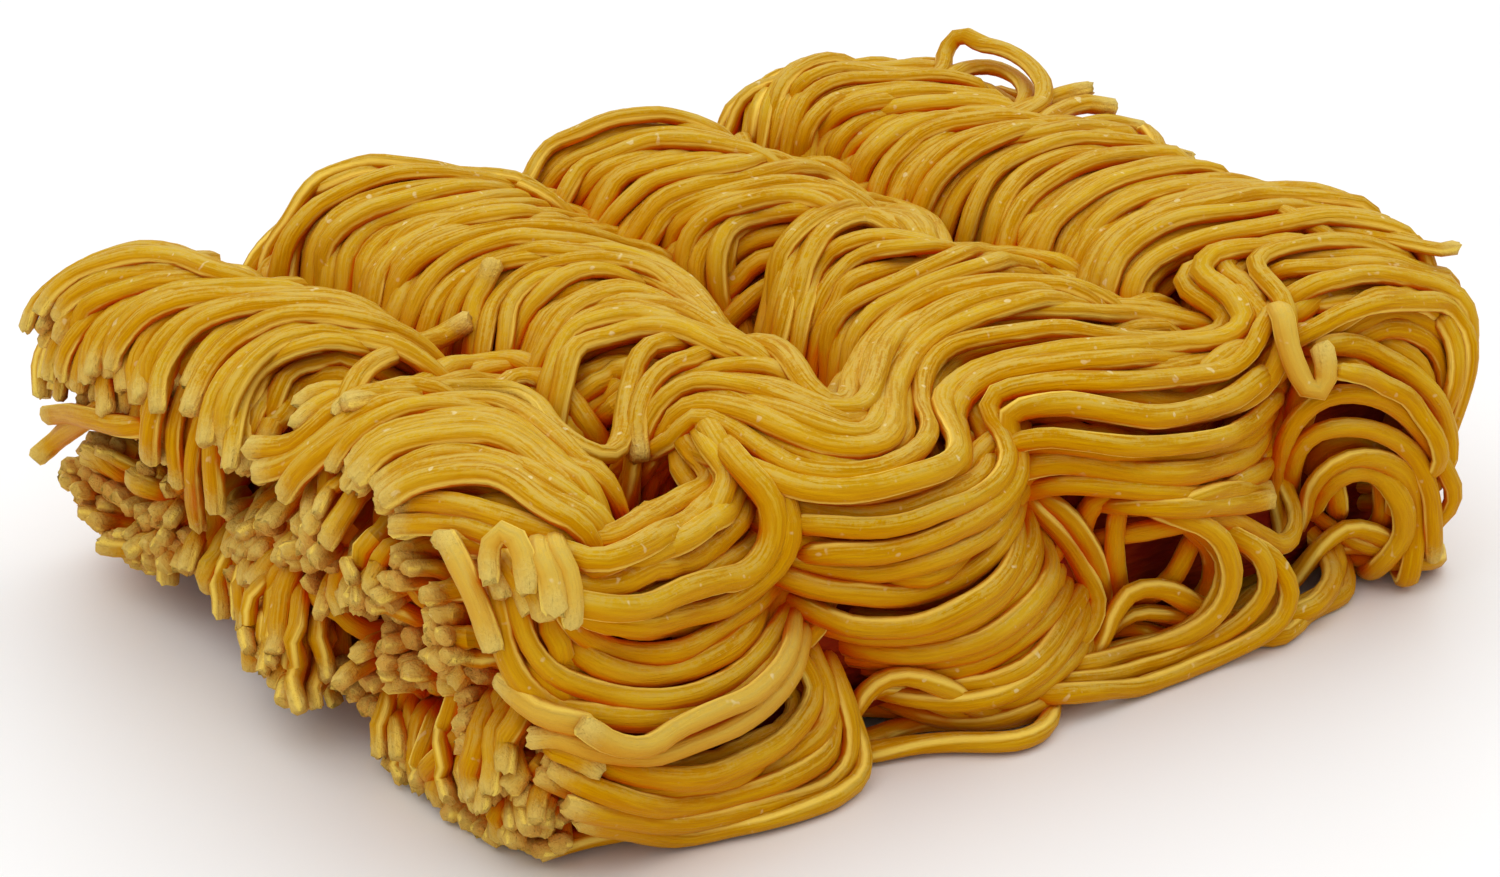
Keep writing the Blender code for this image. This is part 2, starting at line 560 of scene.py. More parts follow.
LOBE_2_LONG_BEND = """
672,440 695,420 720,425 744,437 770,455 797,468 836,474 876,471 907,458 926,440 929,424 922,408 922,385
932,363 950,347 976,339 1008,334 1061,328 1100,334 1152,340 1202,338 1226,326 1218,310 1197,297 1184,284
1189,271 1215,262
"""
LOBE_2_WIDE_BENDS = """
720,455 757,474 784,484 823,489 863,487 915,476 948,466 956,450 945,428 940,405 965,376 1003,360 1050,352
1113,350 1166,350 1215,344 1243,330 1245,310 1228,293 1205,280 1197,268 1215,256 1250,250;
765,500 797,514 823,525 863,528 902,524 942,510 980,495 1004,474 1009,452 1003,432 992,416 990,400
1003,390 1034,385 1074,382 1113,382 1166,379 1218,371 1250,352 1264,327 1260,303 1245,285 1230,272
1228,260 1250,250 1300,243
"""
LOBE_2_UPPER = """
770,530 797,545 836,553 876,553 915,545 952,531 986,513 1007,492 1013,474;
785,552 823,564 863,571 915,566 955,553 990,530 1010,505 1016,480;
780,572 823,587 863,592 913,592 952,580 986,558 1008,530 1017,500
"""
LOBE_2_LOWER = """
790,605 830,618 860,626 913,626 955,612 990,592 1012,563 1022,535 1022,508;
800,630 830,640 860,646 926,650 978,640 1013,618 1036,595 1047,568 1042,540 1030,515;
815,650 860,664 926,670 978,663 1023,638 1055,605 1068,575 1062,540 1049,513 1040,495;
830,668 886,684 939,696 992,692 1038,672 1070,637 1088,600 1084,560 1070,525 1056,500;
850,682 905,705 952,716 1007,714 1052,694 1086,655 1099,613 1096,584 1086,550 1068,513
"""
LOBE_2_FRONT_STRANDS = """
823,525 863,528 902,524 942,510 980,495 1003,474 1009,452 1003,432 992,416 990,402 1002,391 1034,385
1074,382 1113,382 1166,379 1218,371 1248,352 1262,328;
836,553 876,553 915,545 952,531 986,513 1008,492 1018,468 1014,444 1006,426 1012,413 1035,406 1070,404
1113,411 1153,417 1192,412 1232,399 1258,380
"""
LOBE_2_RIGHT_EDGE = """
1028,498 1048,520 1070,545 1086,575 1094,605 1084,632 1060,655;
1046,500 1066,515 1084,538 1096,565 1101,592 1098,615
"""
GROUND_LOOPS = """
850,752 868,752 913,745 952,742 1005,742 1034,735 1048,720 1046,700 1030,690;
850,742 868,738 913,724 960,721 1000,719 1031,711 1040,700
"""

# The third hump and lobe
HUMP_3_ARCHES = """
519,190 533,166 551,145 577,132 606,119 638,114 664,115 691,124 712,137;
567,205 585,174 612,161 651,150 690,147 730,153 760,163;
621,232 631,218 645,202 661,189 700,178 758,169 795,170 824,175 845,187;
649,246 663,225 676,213 697,203 724,195 758,187 797,184 826,190 850,199;
666,256 671,240 679,225 692,213 713,204 740,198 770,194 806,193 832,201;
684,272 684,258 687,245 695,229 711,217 730,208 763,201 795,199 825,206;
700,290 697,272 700,255 706,242 718,227 740,214 764,207 795,203 826,209
"""
HUMP_3_STEEP_ARCHES = """
729,320 721,298 718,276 717,260 720,246 727,231 743,219 772,212 800,210 820,212;
740,320 733,297 727,276 726,260 729,243 738,230 753,221 775,216 800,214 820,216
"""
HUMP_3_HOLLOW = """
741,278 753,265 768,259 786,257;
741,309 753,298 768,287 781,281;
742,325 758,313 773,304;
752,336 768,318 778,310;
738,249 750,242 764,238 786,234;
710,300 706,282 709,266 718,250 730,238
"""
HUMP_3_TOP_ARCHES = """
768,340 774,318 779,292 782,271 785,255 793,242 803,229 818,216 837,207 858,203 884,204 905,209 924,218
938,232 943,245;
784,345 790,318 796,292 797,276 802,260 811,247 824,234 840,224 863,217 889,220 909,229 920,240
"""
HUMP_3_INNER_ARCHES = """
795,360 803,321 808,297 811,276 819,260 834,247 853,241 874,237 897,237 925,243;
800,352 809,326 821,300 834,281 850,266 872,256 898,250 930,248
"""
HUMP_3_LAST_ARCHES = """
820,378 822,345 830,318 838,305 854,292 875,279 900,264 930,256 960,250 1000,252 1040,259;
833,372 834,334 840,318 853,305 876,292 900,282 929,268 960,258 1000,256 1055,266;
852,375 855,347 866,329 884,310 905,300 929,287 960,276 1008,270 1060,275 1090,290
"""
LOBE_3_LONG_BEND = """
992,440 1003,420 1021,408 1050,403 1079,405 1113,413 1153,418 1192,413 1232,400 1262,377 1282,345 1285,320
1278,297 1262,278 1253,264 1270,253 1310,247 1363,247 1402,255
"""
LOBE_3_WALL = """
1000,455 1013,444 1047,434 1087,436 1134,443 1179,443 1218,436 1245,422 1262,402;
1005,478 1021,470 1055,462 1087,463 1150,470 1213,468 1245,456 1264,435;
1008,495 1034,486 1060,483 1113,488 1166,497 1218,494 1248,478 1266,458
"""
LOBE_3_LOOPS = """
1165,505 1188,520 1212,545 1217,575 1202,603 1172,622 1132,632 1100,630;
1175,512 1200,524 1222,545 1232,575 1222,605 1195,630 1160,647 1120,658 1075,672
"""
LOBE_3_WIDE_LOOPS = """
1225,528 1250,545 1259,575 1247,605 1220,632 1180,654 1130,670 1070,680;
1240,535 1270,558 1285,590 1278,620 1250,642 1200,662 1150,680 1090,690 1045,692
"""
LOBE_3_OUTER_LOOPS = """
1296,520 1314,540 1324,562 1324,585 1314,600 1292,614 1260,630;
1302,516 1328,540 1340,568 1336,595 1318,616 1285,632 1245,645;
1308,514 1334,540 1348,568 1345,597 1327,620 1290,640 1245,655
"""
LOBE_3_HOLLOW = """
1120,495 1116,520 1114,545 1114,572 1120,603;
1110,495 1093,505 1083,525 1079,550;
1120,536 1150,530 1185,522;
1112,610 1145,598 1172,578 1188,550
"""
LOBE_3_CUT_STRANDS = """
1150,505 1190,505 1230,503 1268,498;
1190,499 1235,491 1268,490
"""

# The fourth hump, with the loop and loose ends on top of it
HUMP_4_ARCHES = """
721,140 729,115 745,99 770,85 800,70;
766,168 771,133 776,99 789,78 813,65 837,63 863,69 900,67 937,66;
792,175 797,125 811,99 837,86 884,82 937,80 975,85;
816,180 821,141 837,125 868,112 911,107 963,106 1010,112;
868,208 879,175 895,152 918,133 950,125 1000,122 1045,125;
918,230 937,188 963,162 989,148 1030,137 1082,135 1130,136;
979,260 987,215 999,185 1020,165 1055,152 1100,147 1150,152;
1021,270 1039,225 1068,202 1100,183 1140,172 1185,165;
1060,285 1073,235 1100,207 1135,190 1180,180 1220,182 1250,190;
1086,300 1099,258 1128,229 1165,210 1218,200 1270,195 1310,197 1349,205;
1110,315 1123,271 1149,245 1186,226 1244,218 1310,218 1376,224;
1139,320 1141,289 1157,268 1178,255 1218,242 1270,232 1323,229 1376,232 1415,242
"""
HUMP_4_END_ARCHES = """
1284,262 1323,258 1376,260 1413,268 1440,275;
1289,300 1323,284 1376,282 1428,284 1455,300;
1294,335 1323,326 1349,313 1376,303 1415,300 1441,308 1460,329
"""
TOP_LOOP = """
925,85 942,72 945,54 955,38 968,36 980,44 1003,49 1026,62 1042,81 1042,102 1026,115 1003,123
"""
TOP_INNER_LOOP = """
935,90 960,72 989,67 1014,76 1027,92 1020,110
"""
TOP_FIRST_END = """
1000,118 1025,108 1055,96 1089,88
"""
TOP_LOOSE_ENDS = """
1040,128 1060,112 1085,104 1113,108;
1055,135 1085,125 1110,122 1142,130;
1090,150 1120,143 1150,147 1190,158
"""
HUMP_4_EDGE_END = """
1323,228 1363,236 1402,244 1441,250 1455,247
"""

# The right end
FAR_ARCS = """
1320,344 1345,344 1372,351 1400,365 1424,386 1441,410 1449,436 1448,460;
1338,372 1362,377 1385,387 1405,401 1422,419 1433,438 1436,456
"""
FAR_DEEP_ARCS = """
1352,324 1372,316 1398,314 1425,322 1444,342 1454,370 1456,395;
1362,336 1385,328 1408,330 1428,342 1440,362 1443,382;
1400,352 1415,362 1424,376 1428,390
"""
FAR_LONG_LOOP = """
1175,500 1200,511 1230,522 1262,538 1280,545 1293,534 1294,512 1286,488 1278,465
"""
FAR_BIG_LOOP = """
1280,520 1276,490 1279,458 1291,428 1312,405 1340,394 1370,396 1395,406 1415,424 1430,446 1444,470
1453,490 1450,508 1437,522
"""
FAR_CUT_LOOP = """
1290,500 1290,472 1298,448 1318,432 1345,427 1372,430 1397,441 1416,458 1428,484 1432,515 1433,558
"""
FAR_ARCHES = """
1303,510 1308,492 1322,473 1342,460 1366,456 1390,462 1406,478 1414,502 1416,530 1413,562;
1316,505 1328,486 1343,475 1366,473 1386,482 1398,504 1398,530 1390,552
"""
FAR_LOW_STRANDS = """
1310,512 1330,527 1352,541 1378,549 1396,550;
1305,522 1328,543 1352,556 1380,560 1404,560
"""
FAR_HOOK = """
1283,318 1286,335 1291,355 1300,376 1311,392 1321,390 1327,372 1322,348
"""

# Tufts of cut strands, each guide from the cut end inwards
TUFT_BACK = """
95,440 108,449 125,459 145,463 168,460;
82,457 100,463 118,478 140,487 165,485 187,473;
68,478 88,479 108,488 130,498 158,500 182,490;
87,496 107,499 128,508 150,510 176,500 197,480;
86,517 107,517 130,520 155,517 178,504 201,485;
101,538 122,538 145,543 170,531 195,509 215,490;
152,558 162,546 180,527 200,504 222,480
"""
TUFT_BACK_INNER = """
140,474 165,480 190,478;
168,492 185,482 205,462;
170,560 182,540 198,512 215,480;
205,562 215,540 228,510 240,480
"""
TUFT_UPPER = """
228,542 245,525 270,510 300,500 330,495;
250,548 262,532 285,525 310,520;
262,590 268,570 285,556 310,550
"""
TUFT_UPPER_INNER = """
235,545 262,505 300,478;
275,520 300,500 330,470
"""
TUFT_MIDDLE = """
312,525 322,505 335,490 350,478;
330,545 340,520 352,500 365,485;
285,553 305,548 330,540 360,530;
318,590 325,570 345,550 370,540;
330,610 340,590 355,570 375,550;
372,592 380,570 390,550 405,540
"""
TUFT_LOWER_BACK = """
205,600 207,580 212,560 225,540;
232,612 235,590 240,565 250,545;
250,640 252,610 255,580 262,560;
275,672 275,640 278,610 285,580;
300,705 297,670 298,640 303,610;
330,700 322,660 318,630 320,600
"""
TUFT_SHORT = """
350,692 370,685 390,672 410,662;
345,670 355,650 375,640 400,640
"""
TUFT_FRONT = """
395,567 420,562 450,570 480,590;
385,583 415,580 440,590 470,600;
382,605 400,592 430,595 460,605;
405,640 440,628 480,632;
372,653 395,650 430,648 470,650;
402,672 420,668 450,670
"""
TUFT_FRONT_LOWER = """
432,597 455,590 480,595 510,605;
440,640 465,640 500,645;
450,662 475,655 510,660 540,672;
460,690 480,688 510,700 545,720;
462,725 480,718 500,712 530,725;
480,745 500,735 530,740
"""
TUFT_GROUND = """
380,765 383,735 390,705 398,685;
400,765 400,735 402,710 408,690;
425,790 420,760 425,735 432,715
"""
TUFT_GROUND_MIDDLE = """
425,790 422,765 428,745;
450,795 450,770 455,745 465,725;
480,795 480,770 485,745 492,725;
506,790 505,765 508,740 515,720
"""
TUFT_GROUND_FRONT = """
470,838 478,815 485,790 500,765;
500,840 505,815 515,790 530,765;
530,815 528,795 535,775 550,760;
547,842 542,818 545,800 555,780
"""
CUT_FACE_BOW = """
341,610 362,629 388,632 401,626 425,615
"""


# ---------------- traced strands
def lay_first_hump():
    """The hump next to the cut end, and the shoulder in front of it."""
    family("hump_1", HUMP_1_ARCHES, fold=0, ends=(CUT, OVER))
    family("hump_1", HUMP_1_UNDER_ARCHES, fold=0, ends=(CUT, AWAY), lift=-2.0)
    singles("hump_1", HUMP_1_INNER_ENDS, fold=0, ends=(CUT, AWAY), lift=-2.6)
    family("hump_1", SHOULDER_TOP, fold=0, ends=(CUT, AWAY), blur=30)
    singles("hump_1", SHOULDER_LOOSE_ENDS, fold=0, ends=(CUT, DOWN), lift=0.3)
    singles("hump_1", SHOULDER_LONG_STRAND, ends=(CUT, AWAY), lift=1.0, blur=40)
    singles("hump_1", VALLEY_ARCH, ends=(CUT, AWAY), lift=0.6)
    family("hump_1", VALLEY_FILL, ends=(AWAY, AWAY), lift=-2.2)
    family("hump_1", SHOULDER_FRONT, fold=0, ends=(CUT, DIVE), blur=30)
    family("lobe_1", LOBE_1_TOP, ends=(CUT, AWAY), blur=30)
    family("lobe_1", LOBE_1_UPPER, ends=(AWAY, AWAY), blur=30)
    family("lobe_1", LOBE_1_MIDDLE, fold=0, ends=(AWAY, AWAY))
    singles("lobe_1", LOBE_1_DRY_STRAND, fold=0, ends=(CUT, AWAY), lift=2.6, dry=True)
    singles("lobe_1", LOBE_1_LOW_DRY_STRAND, fold=0, ends=(CUT, AWAY), lift=1.6, dry=True)
    family("lobe_1", LOBE_1_LOWEST, fold=0, ends=(CUT, AWAY))


def lay_hanging_ends():
    """Loose cut ends that hang in front of the first fold."""
    singles("lobe_1", HANGING_HOOK, fold=0, ends=(CUT, CUT), lift=2.2, dry=True)
    singles("lobe_1", HANGING_ENDS, fold=0, ends=(BEHIND, CUT), lift=2.0, dry=True)
    singles("lobe_1", SHORT_HANGING_ENDS, fold=0, ends=(BEHIND, CUT), lift=0.8)
    singles("lobe_1", SLANTING_STRAND, fold=0, ends=(CUT, CUT), lift=2.0, dry=True)
    singles("lobe_1", LOW_STUB, fold=0, ends=(CUT, BEHIND), lift=1.6, dry=True)
    singles("lobe_1", LOWEST_STUB, fold=0, ends=(BEHIND, CUT), lift=1.2)
    singles("hump_1", HUMP_1_CROSSING, fold=0, ends=(DOWN, CUT), lift=1.6)
    singles("hump_1", HUMP_2_LOOSE_END, fold=1, ends=(CUT, DOWN), lift=1.2)
    singles("hump_1", CUT_CORNER_END, fold=0, ends=(BEHIND, CUT), lift=0.5)
    singles("hump_1", CUT_CORNER_LOW_END, fold=0, ends=(BEHIND, CUT), lift=0.0)


def lay_second_hump():
    """The second hump and lobe, with the S-bends that lead on to the third."""
    family("hump_2", HUMP_2_ARCHES, fold=1)
    family("lobe_2", LOBE_2_BENDS, ends=(AWAY, OVER), blur=36)
    singles("lobe_2", LOBE_2_LONG_BEND, ends=(AWAY, AWAY), lift=0.5, blur=36)
    family("lobe_2", LOBE_2_WIDE_BENDS, ends=(AWAY, OVER), blur=36)
    family("lobe_2", LOBE_2_UPPER, fold=1, ends=(AWAY, AWAY))
    family("lobe_2", LOBE_2_LOWER, fold=1, ends=(AWAY, AWAY))
    singles("lobe_2", LOBE_2_FRONT_STRANDS, ends=(AWAY, AWAY), lift=1.1, blur=36)
    singles("lobe_2", LOBE_2_RIGHT_EDGE, ends=(AWAY, AWAY), lift=-0.4, blur=36)
    singles("ground_loop", GROUND_LOOPS, height=1.0, ends=(AWAY, AWAY))


def lay_third_hump():
    """The third hump and lobe, the bend beside it, and the loops below."""
    family("hump_3", HUMP_3_ARCHES, fold=2)
    family("hump_3", HUMP_3_STEEP_ARCHES, fold=2, lift=0.6, layers=1)
    singles("hump_3", HUMP_3_HOLLOW, fold=2, ends=(DOWN, AWAY), lift=-2.2)
    family("hump_3", HUMP_3_TOP_ARCHES, fold=2, lift=1.2, layers=1)
    family("hump_3", HUMP_3_INNER_ARCHES, fold=2)
    family("hump_3", HUMP_3_LAST_ARCHES, fold=2)
    family("lobe_3", LOBE_3_LONG_BEND, ends=(AWAY, ROUND), blur=36)
    family("lobe_3", LOBE_3_WALL, fold=2, ends=(AWAY, AWAY), pitch=1.25)
    family("lobe_3", LOBE_3_LOOPS, ends=(AWAY, AWAY), layers=1, blur=40)
    family("lobe_3", LOBE_3_WIDE_LOOPS, ends=(AWAY, AWAY), layers=1, blur=40)
    family("lobe_3", LOBE_3_OUTER_LOOPS, fold=2, ends=(AWAY, AWAY), layers=1, blur=40)
    singles("lobe_3", LOBE_3_HOLLOW, fold=2, ends=(AWAY, AWAY), lift=-1.8)
    singles("lobe_3", LOBE_3_CUT_STRANDS, fold=2, ends=(AWAY, CUT), lift=1.5)


def lay_fourth_hump():
    """The hump at the far end, with the loop and loose ends on top of it."""
    family("hump_4", HUMP_4_ARCHES, fold=3, ends=(DOWN, ROUND))
    family("hump_4", HUMP_4_END_ARCHES, fold=3, ends=(DOWN, ROUND))
    singles("hump_4", TOP_LOOP, fold=3, ends=(DOWN, CUT), lift=1.0)
    singles("hump_4", TOP_INNER_LOOP, fold=3, ends=(DOWN, DOWN), lift=0.3)
    singles("hump_4", TOP_FIRST_END, fold=3, ends=(DOWN, CUT), lift=0.5)
    singles("hump_4", TOP_LOOSE_ENDS, fold=3, ends=(DOWN, CUT), lift=0.6)
    singles("hump_4", HUMP_4_EDGE_END, fold=3, ends=(DOWN, CUT), lift=0.8)


def lay_far_loops():
    """Nested arches and loose ends at the right end."""
    family("far_end", FAR_ARCS, fold=3, ends=(BEHIND, ASIDE), lift=0.5)
    singles("far_end", FAR_DEEP_ARCS, fold=3, ends=(DOWN, ASIDE), lift=-2.0)
    singles("far_end", FAR_LONG_LOOP, ends=(AWAY, AWAY), lift=1.4, blur=40)
    singles("far_end", FAR_BIG_LOOP, fold=3, ends=(AWAY, ASIDE), lift=1.0)
    singles("far_end", FAR_CUT_LOOP, fold=3, ends=(AWAY, CUT), lift=0.6)
    family("far_end", FAR_ARCHES, fold=3, ends=(AWAY, AWAY), lift=0.6)
    singles("far_end", FAR_LOW_STRANDS, fold=3, ends=(AWAY, AWAY))
    singles("far_end", FAR_HOOK, fold=3, ends=(BEHIND, CUT), lift=2.6, dry=True)


# Each tuft's guides, slope, layers and lift
TUFTS = (
    (TUFT_BACK, 0.5, 3, 0.0),
    (TUFT_BACK_INNER, 0.3, 3, -2.0),
    (TUFT_UPPER, 0.5, 3, 0.0),
    (TUFT_UPPER_INNER, 0.5, 2, -4.0),
    (TUFT_MIDDLE, 0.4, 3, 1.0),
    (TUFT_LOWER_BACK, 0.1, 3, 0.0),
    (TUFT_SHORT, 0.5, 1, 0.0),
    (TUFT_FRONT, 0.6, 3, 0.5),
    (TUFT_FRONT_LOWER, 0.6, 3, 0.5),
    (TUFT_GROUND, 0.1, 2, 0.0),
    (TUFT_GROUND_MIDDLE, 0.1, 3, 0.0),
    (TUFT_GROUND_FRONT, 0.2, 3, 0.0),
)


def lay_cut_face():
    """Tufts of cut strands on the left end, with hollows between them."""
    for guides, slope, layers, lift in TUFTS:
        family("cut_face", guides, ends=(CUT, AWAY), lift=lift, layers=layers, slope=slope)
    singles("cut_face", CUT_FACE_BOW, ends=(AWAY, AWAY), slope=0.0)


# ---------------- hidden sides
HIDDEN_LAYERS = 2
OUTSIDE = 90.0
OUTER_LIMIT = (40.0, 24.0)
LOWERING = 0.8
HIDDEN_BLUR = 1.6
LEVEL_BLUR = 1.5
HIDDEN_STRAY_SCALE = 8

# The back: how high its arcs go, how they sag at two heights, and how far along the block
BACK_BOTTOM = 1.5
BACK_TOP = 29.0
BACK_TOP_AT_CUT = 25.0
SAG_HEIGHTS = (14.0, 28.0)
SAGS = (3.0, -7.0)
SAG_LEVEL = 0.4
BACK_TILT = 1.0
BACK_REACH = 50.0
BACK_OVERLAP = 0.53
BACK_START_AT_CUT = -0.6
BACK_POINTS = 26
FEWEST_POINTS = 10
BACK_STRAY = 0.25

# The far end's stacks of arches: where across the block, how high they spring, how tall
FAR_STACKS = ((-20.0, 10.0, 0.8), (0.0, 3.0, 1.1), (22.0, 5.0, 1.0))
FAR_NARROWEST = 2.0
FAR_WIDEST = 14.0
FAR_TOP = 30.0
FAR_SHIFT = 0.5
FAR_RISES = (0.92, 1.08)
FAR_STRAY = 0.4
ARCH_POINTS = 34
ARCH_SHAPE = 1.9

# The waves on the underside and on the core: how far they swing, and how long they are
BOTTOM_ROWS = (-36.0, 37.0)
BOTTOM_EDGE = 37.5
BOTTOM_LENGTH = (-48.0, 44.0)
BOTTOM_POINTS = 74
BOTTOM_WAVE = (2.6, 26.0)
BOTTOM_PHASE = 0.4
BELOW = -20.0
NO_BOTTOM = 1.0
FILLING_WAVE = (2.4, 17.0)
FILLING_PHASE = 0.5
FILLING_STRAY_SCALE = 9
FILLING_STRAY = 0.35


def outer_point(axis, place):
    """The CAD surface as met from outside along an axis, lowered until there is one."""
    place = np.array(place, float)
    direction = np.zeros(3)
    direction[axis] = -1
    place[axis] = OUTSIDE
    while place[2] > RADIUS / 2:
        hit = WHOLE.cast(place, direction)
        if hit is not None and hit[axis] > OUTER_LIMIT[axis]:
            return hit
        place[2] -= LOWERING
    return None


def outer_line(axis, places, layer):
    """The outer points at all the places, sunk by their layer."""
    sink = np.zeros(3)
    sink[axis] = SINK + layer * LAYER_DEPTH
    hits = [outer_point(axis, place) for place in places]
    return [hit - sink for hit in hits if hit is not None]


def back_places(start, stop, height):
    """Places along an arc on the back of the fold from start to stop."""
    shift = -lean_at(height - MID_HEIGHT) * (height - MID_HEIGHT)
    slope = random.normal(0, BACK_TILT)
    sag = np.interp(height, SAG_HEIGHTS, SAGS)
    places = []
    for t in np.linspace(BACK_START_AT_CUT if start < -BACK_REACH else -1.0, 1, BACK_POINTS):
        x = (start + stop) / 2 + shift + t * (stop - start) * BACK_OVERLAP
        z = max(RADIUS, height + sag * (t * t - SAG_LEVEL) + slope * t)
        places.append((np.clip(x, -BACK_REACH, BACK_REACH), 0.0, z))
    return places


def lay_back_lobes():
    """Stacked arcs on the side away from the camera, one stack to each fold."""
    fold_ends = np.cumsum((0,) + FOLD_LENGTHS) - sum(FOLD_LENGTHS) / 2
    for start, stop in zip(fold_ends[:-1], fold_ends[1:]):
        at_cut = start < -BACK_REACH
        ends = (CUT if at_cut else INWARD, INWARD)
        top = BACK_TOP_AT_CUT if at_cut else BACK_TOP
        for layer in range(HIDDEN_LAYERS):
            for height in np.arange(BACK_BOTTOM + layer, top, PITCH):
                line = outer_line(1, back_places(start, stop, height), layer)
                if len(line) < FEWEST_POINTS:
                    continue
                line = np.array(line)
                line[:, 1] = blurred(line[:, 1], HIDDEN_BLUR)
                stray(line, HIDDEN_STRAY_SCALE, BACK_STRAY)
                strands.append(Strand(finished(line, ends), "back_lobes", are_cut(ends)))


def arch_places(middle, base, tall, width):
    """Places up one leg of an arch on the far end, over its top and down the other leg."""
    place = middle + random.normal(0, FAR_SHIFT)
    rise = tall * random.uniform(*FAR_RISES)
    leg = [(1.0, z) for z in np.arange(RADIUS, base, STEP)]
    arch = [
        (math.cos(angle), base + ARCH_SHAPE * rise * width * math.sin(angle))
        for angle in np.linspace(0.0, math.pi, ARCH_POINTS)
    ]
    outline = leg + arch + [(-1.0, z) for _, z in leg[::-1]]
    return [(0.0, place + side * width, min(z, FAR_TOP)) for side, z in outline]


def lay_far_arches():
    """Nested arches on the far end, with legs that go down and under the block."""
    for middle, base, tall in FAR_STACKS:
        for layer in range(HIDDEN_LAYERS):
            for width in np.arange(FAR_NARROWEST + layer, FAR_WIDEST, PITCH):
                line = np.array(outer_line(0, arch_places(middle, base, tall, width), layer))
                line[:, 0] = blurred(line[:, 0], HIDDEN_BLUR)
                stray(line, HIDDEN_STRAY_SCALE, FAR_STRAY)
                strands.append(Strand(finished(line, (UNDER, UNDER)), "far_end"))


def lay_bottom():
    """Waves that run along the underside."""
    swing, length = BOTTOM_WAVE
    for row in np.arange(*BOTTOM_ROWS, PITCH):
        phase = random.uniform(-BOTTOM_PHASE, BOTTOM_PHASE)
        line = []
        for x in np.linspace(*BOTTOM_LENGTH, BOTTOM_POINTS):
            y = row + swing * math.sin(2 * math.pi * x / length + phase)
            y = max(-BOTTOM_EDGE, min(BOTTOM_EDGE, y))
            hit = WHOLE.cast((x, y, BELOW), (0, 0, 1))
            line.append((x, y, (hit[2] if hit is not None else NO_BOTTOM) + RADIUS))
        line = np.array(line)
        line[:, 2] = blurred(line[:, 2], LEVEL_BLUR)
        strands.append(Strand(line, "bottom", (True, False)))


def lay_filling(tops):
    """Wavy strands that lie on the core, and show wherever there is a gap above them."""
    swing, length = FILLING_WAVE
    for row in np.arange(CORE_YS[0], CORE_YS[-1], PITCH):
        phase = random.uniform(-FILLING_PHASE, FILLING_PHASE)
        line = []
        for x in np.arange(CORE_XS[0], CORE_XS[-1], STEP):
            y = row + swing * math.sin(2 * math.pi * x / length + phase)
            y = np.clip(y, CORE_YS[0], CORE_YS[-1])
            across = [np.interp(y, CORE_YS, column) for column in tops]
            line.append((x, y, np.interp(x, CORE_XS, across) + RADIUS))
        line = np.array(line)
        line[:, 2] = blurred(line[:, 2], LEVEL_BLUR)
        stray(line, FILLING_STRAY_SCALE, FILLING_STRAY)
        strands.append(Strand(line, "filling"))


# ---------------- pushing apart
ROUNDS = 36
ROUNDS_A_SEARCH = 4
SEARCH_REACH = DIAMETER * 1.35
CONTACT = DIAMETER * 0.94
CROWD_SHARE = 0.6
SIGHT_SHARE = 0.15
HIDDEN_SHARE = 0.3
BEND_SHARE = 0.45
LENGTH_SHARE = 0.25
NEIGHBOURS = 4


def pairs_in_cells(key, jump):
    """Pairs of points whose cells are a jump apart."""
    order = np.argsort(key, kind="stable")
    low = np.searchsorted(key[order], key + jump, "left")
    counts = np.searchsorted(key[order], key + jump, "right") - low
    first = np.repeat(np.arange(len(key)), counts)
    steps = np.arange(counts.sum()) - np.repeat(np.cumsum(counts) - counts, counts)
    second = order[np.repeat(low, counts) + steps]
    if jump == 0:
        keep = first < second
        return first[keep], second[keep]
    return first, second


def close_pairs(points, owner, place, reach):
    """Pairs of points nearer than reach, apart from neighbours on one strand."""
    cell = np.floor(points / reach).astype(np.int64)
    cell -= cell.min(axis=0) - 1
    size = cell.max(axis=0) + 2
    key = (cell[:, 0] * size[1] + cell[:, 1]) * size[2] + cell[:, 2]
    offsets = [(dx, dy, dz) for dx in (-1, 0, 1) for dy in (-1, 0, 1) for dz in (-1, 0, 1)]
    half = offsets[len(offsets) // 2 :]
    found = [pairs_in_cells(key, (dx * size[1] + dy) * size[2] + dz) for dx, dy, dz in half]
    a, b = (np.concatenate(side) for side in zip(*found))
    near = ((points[a] - points[b]) ** 2).sum(axis=1) < reach * reach
    keep = near & ((owner[a] != owner[b]) | (np.abs(place[a] - place[b]) > NEIGHBOURS))
    return a[keep], b[keep]


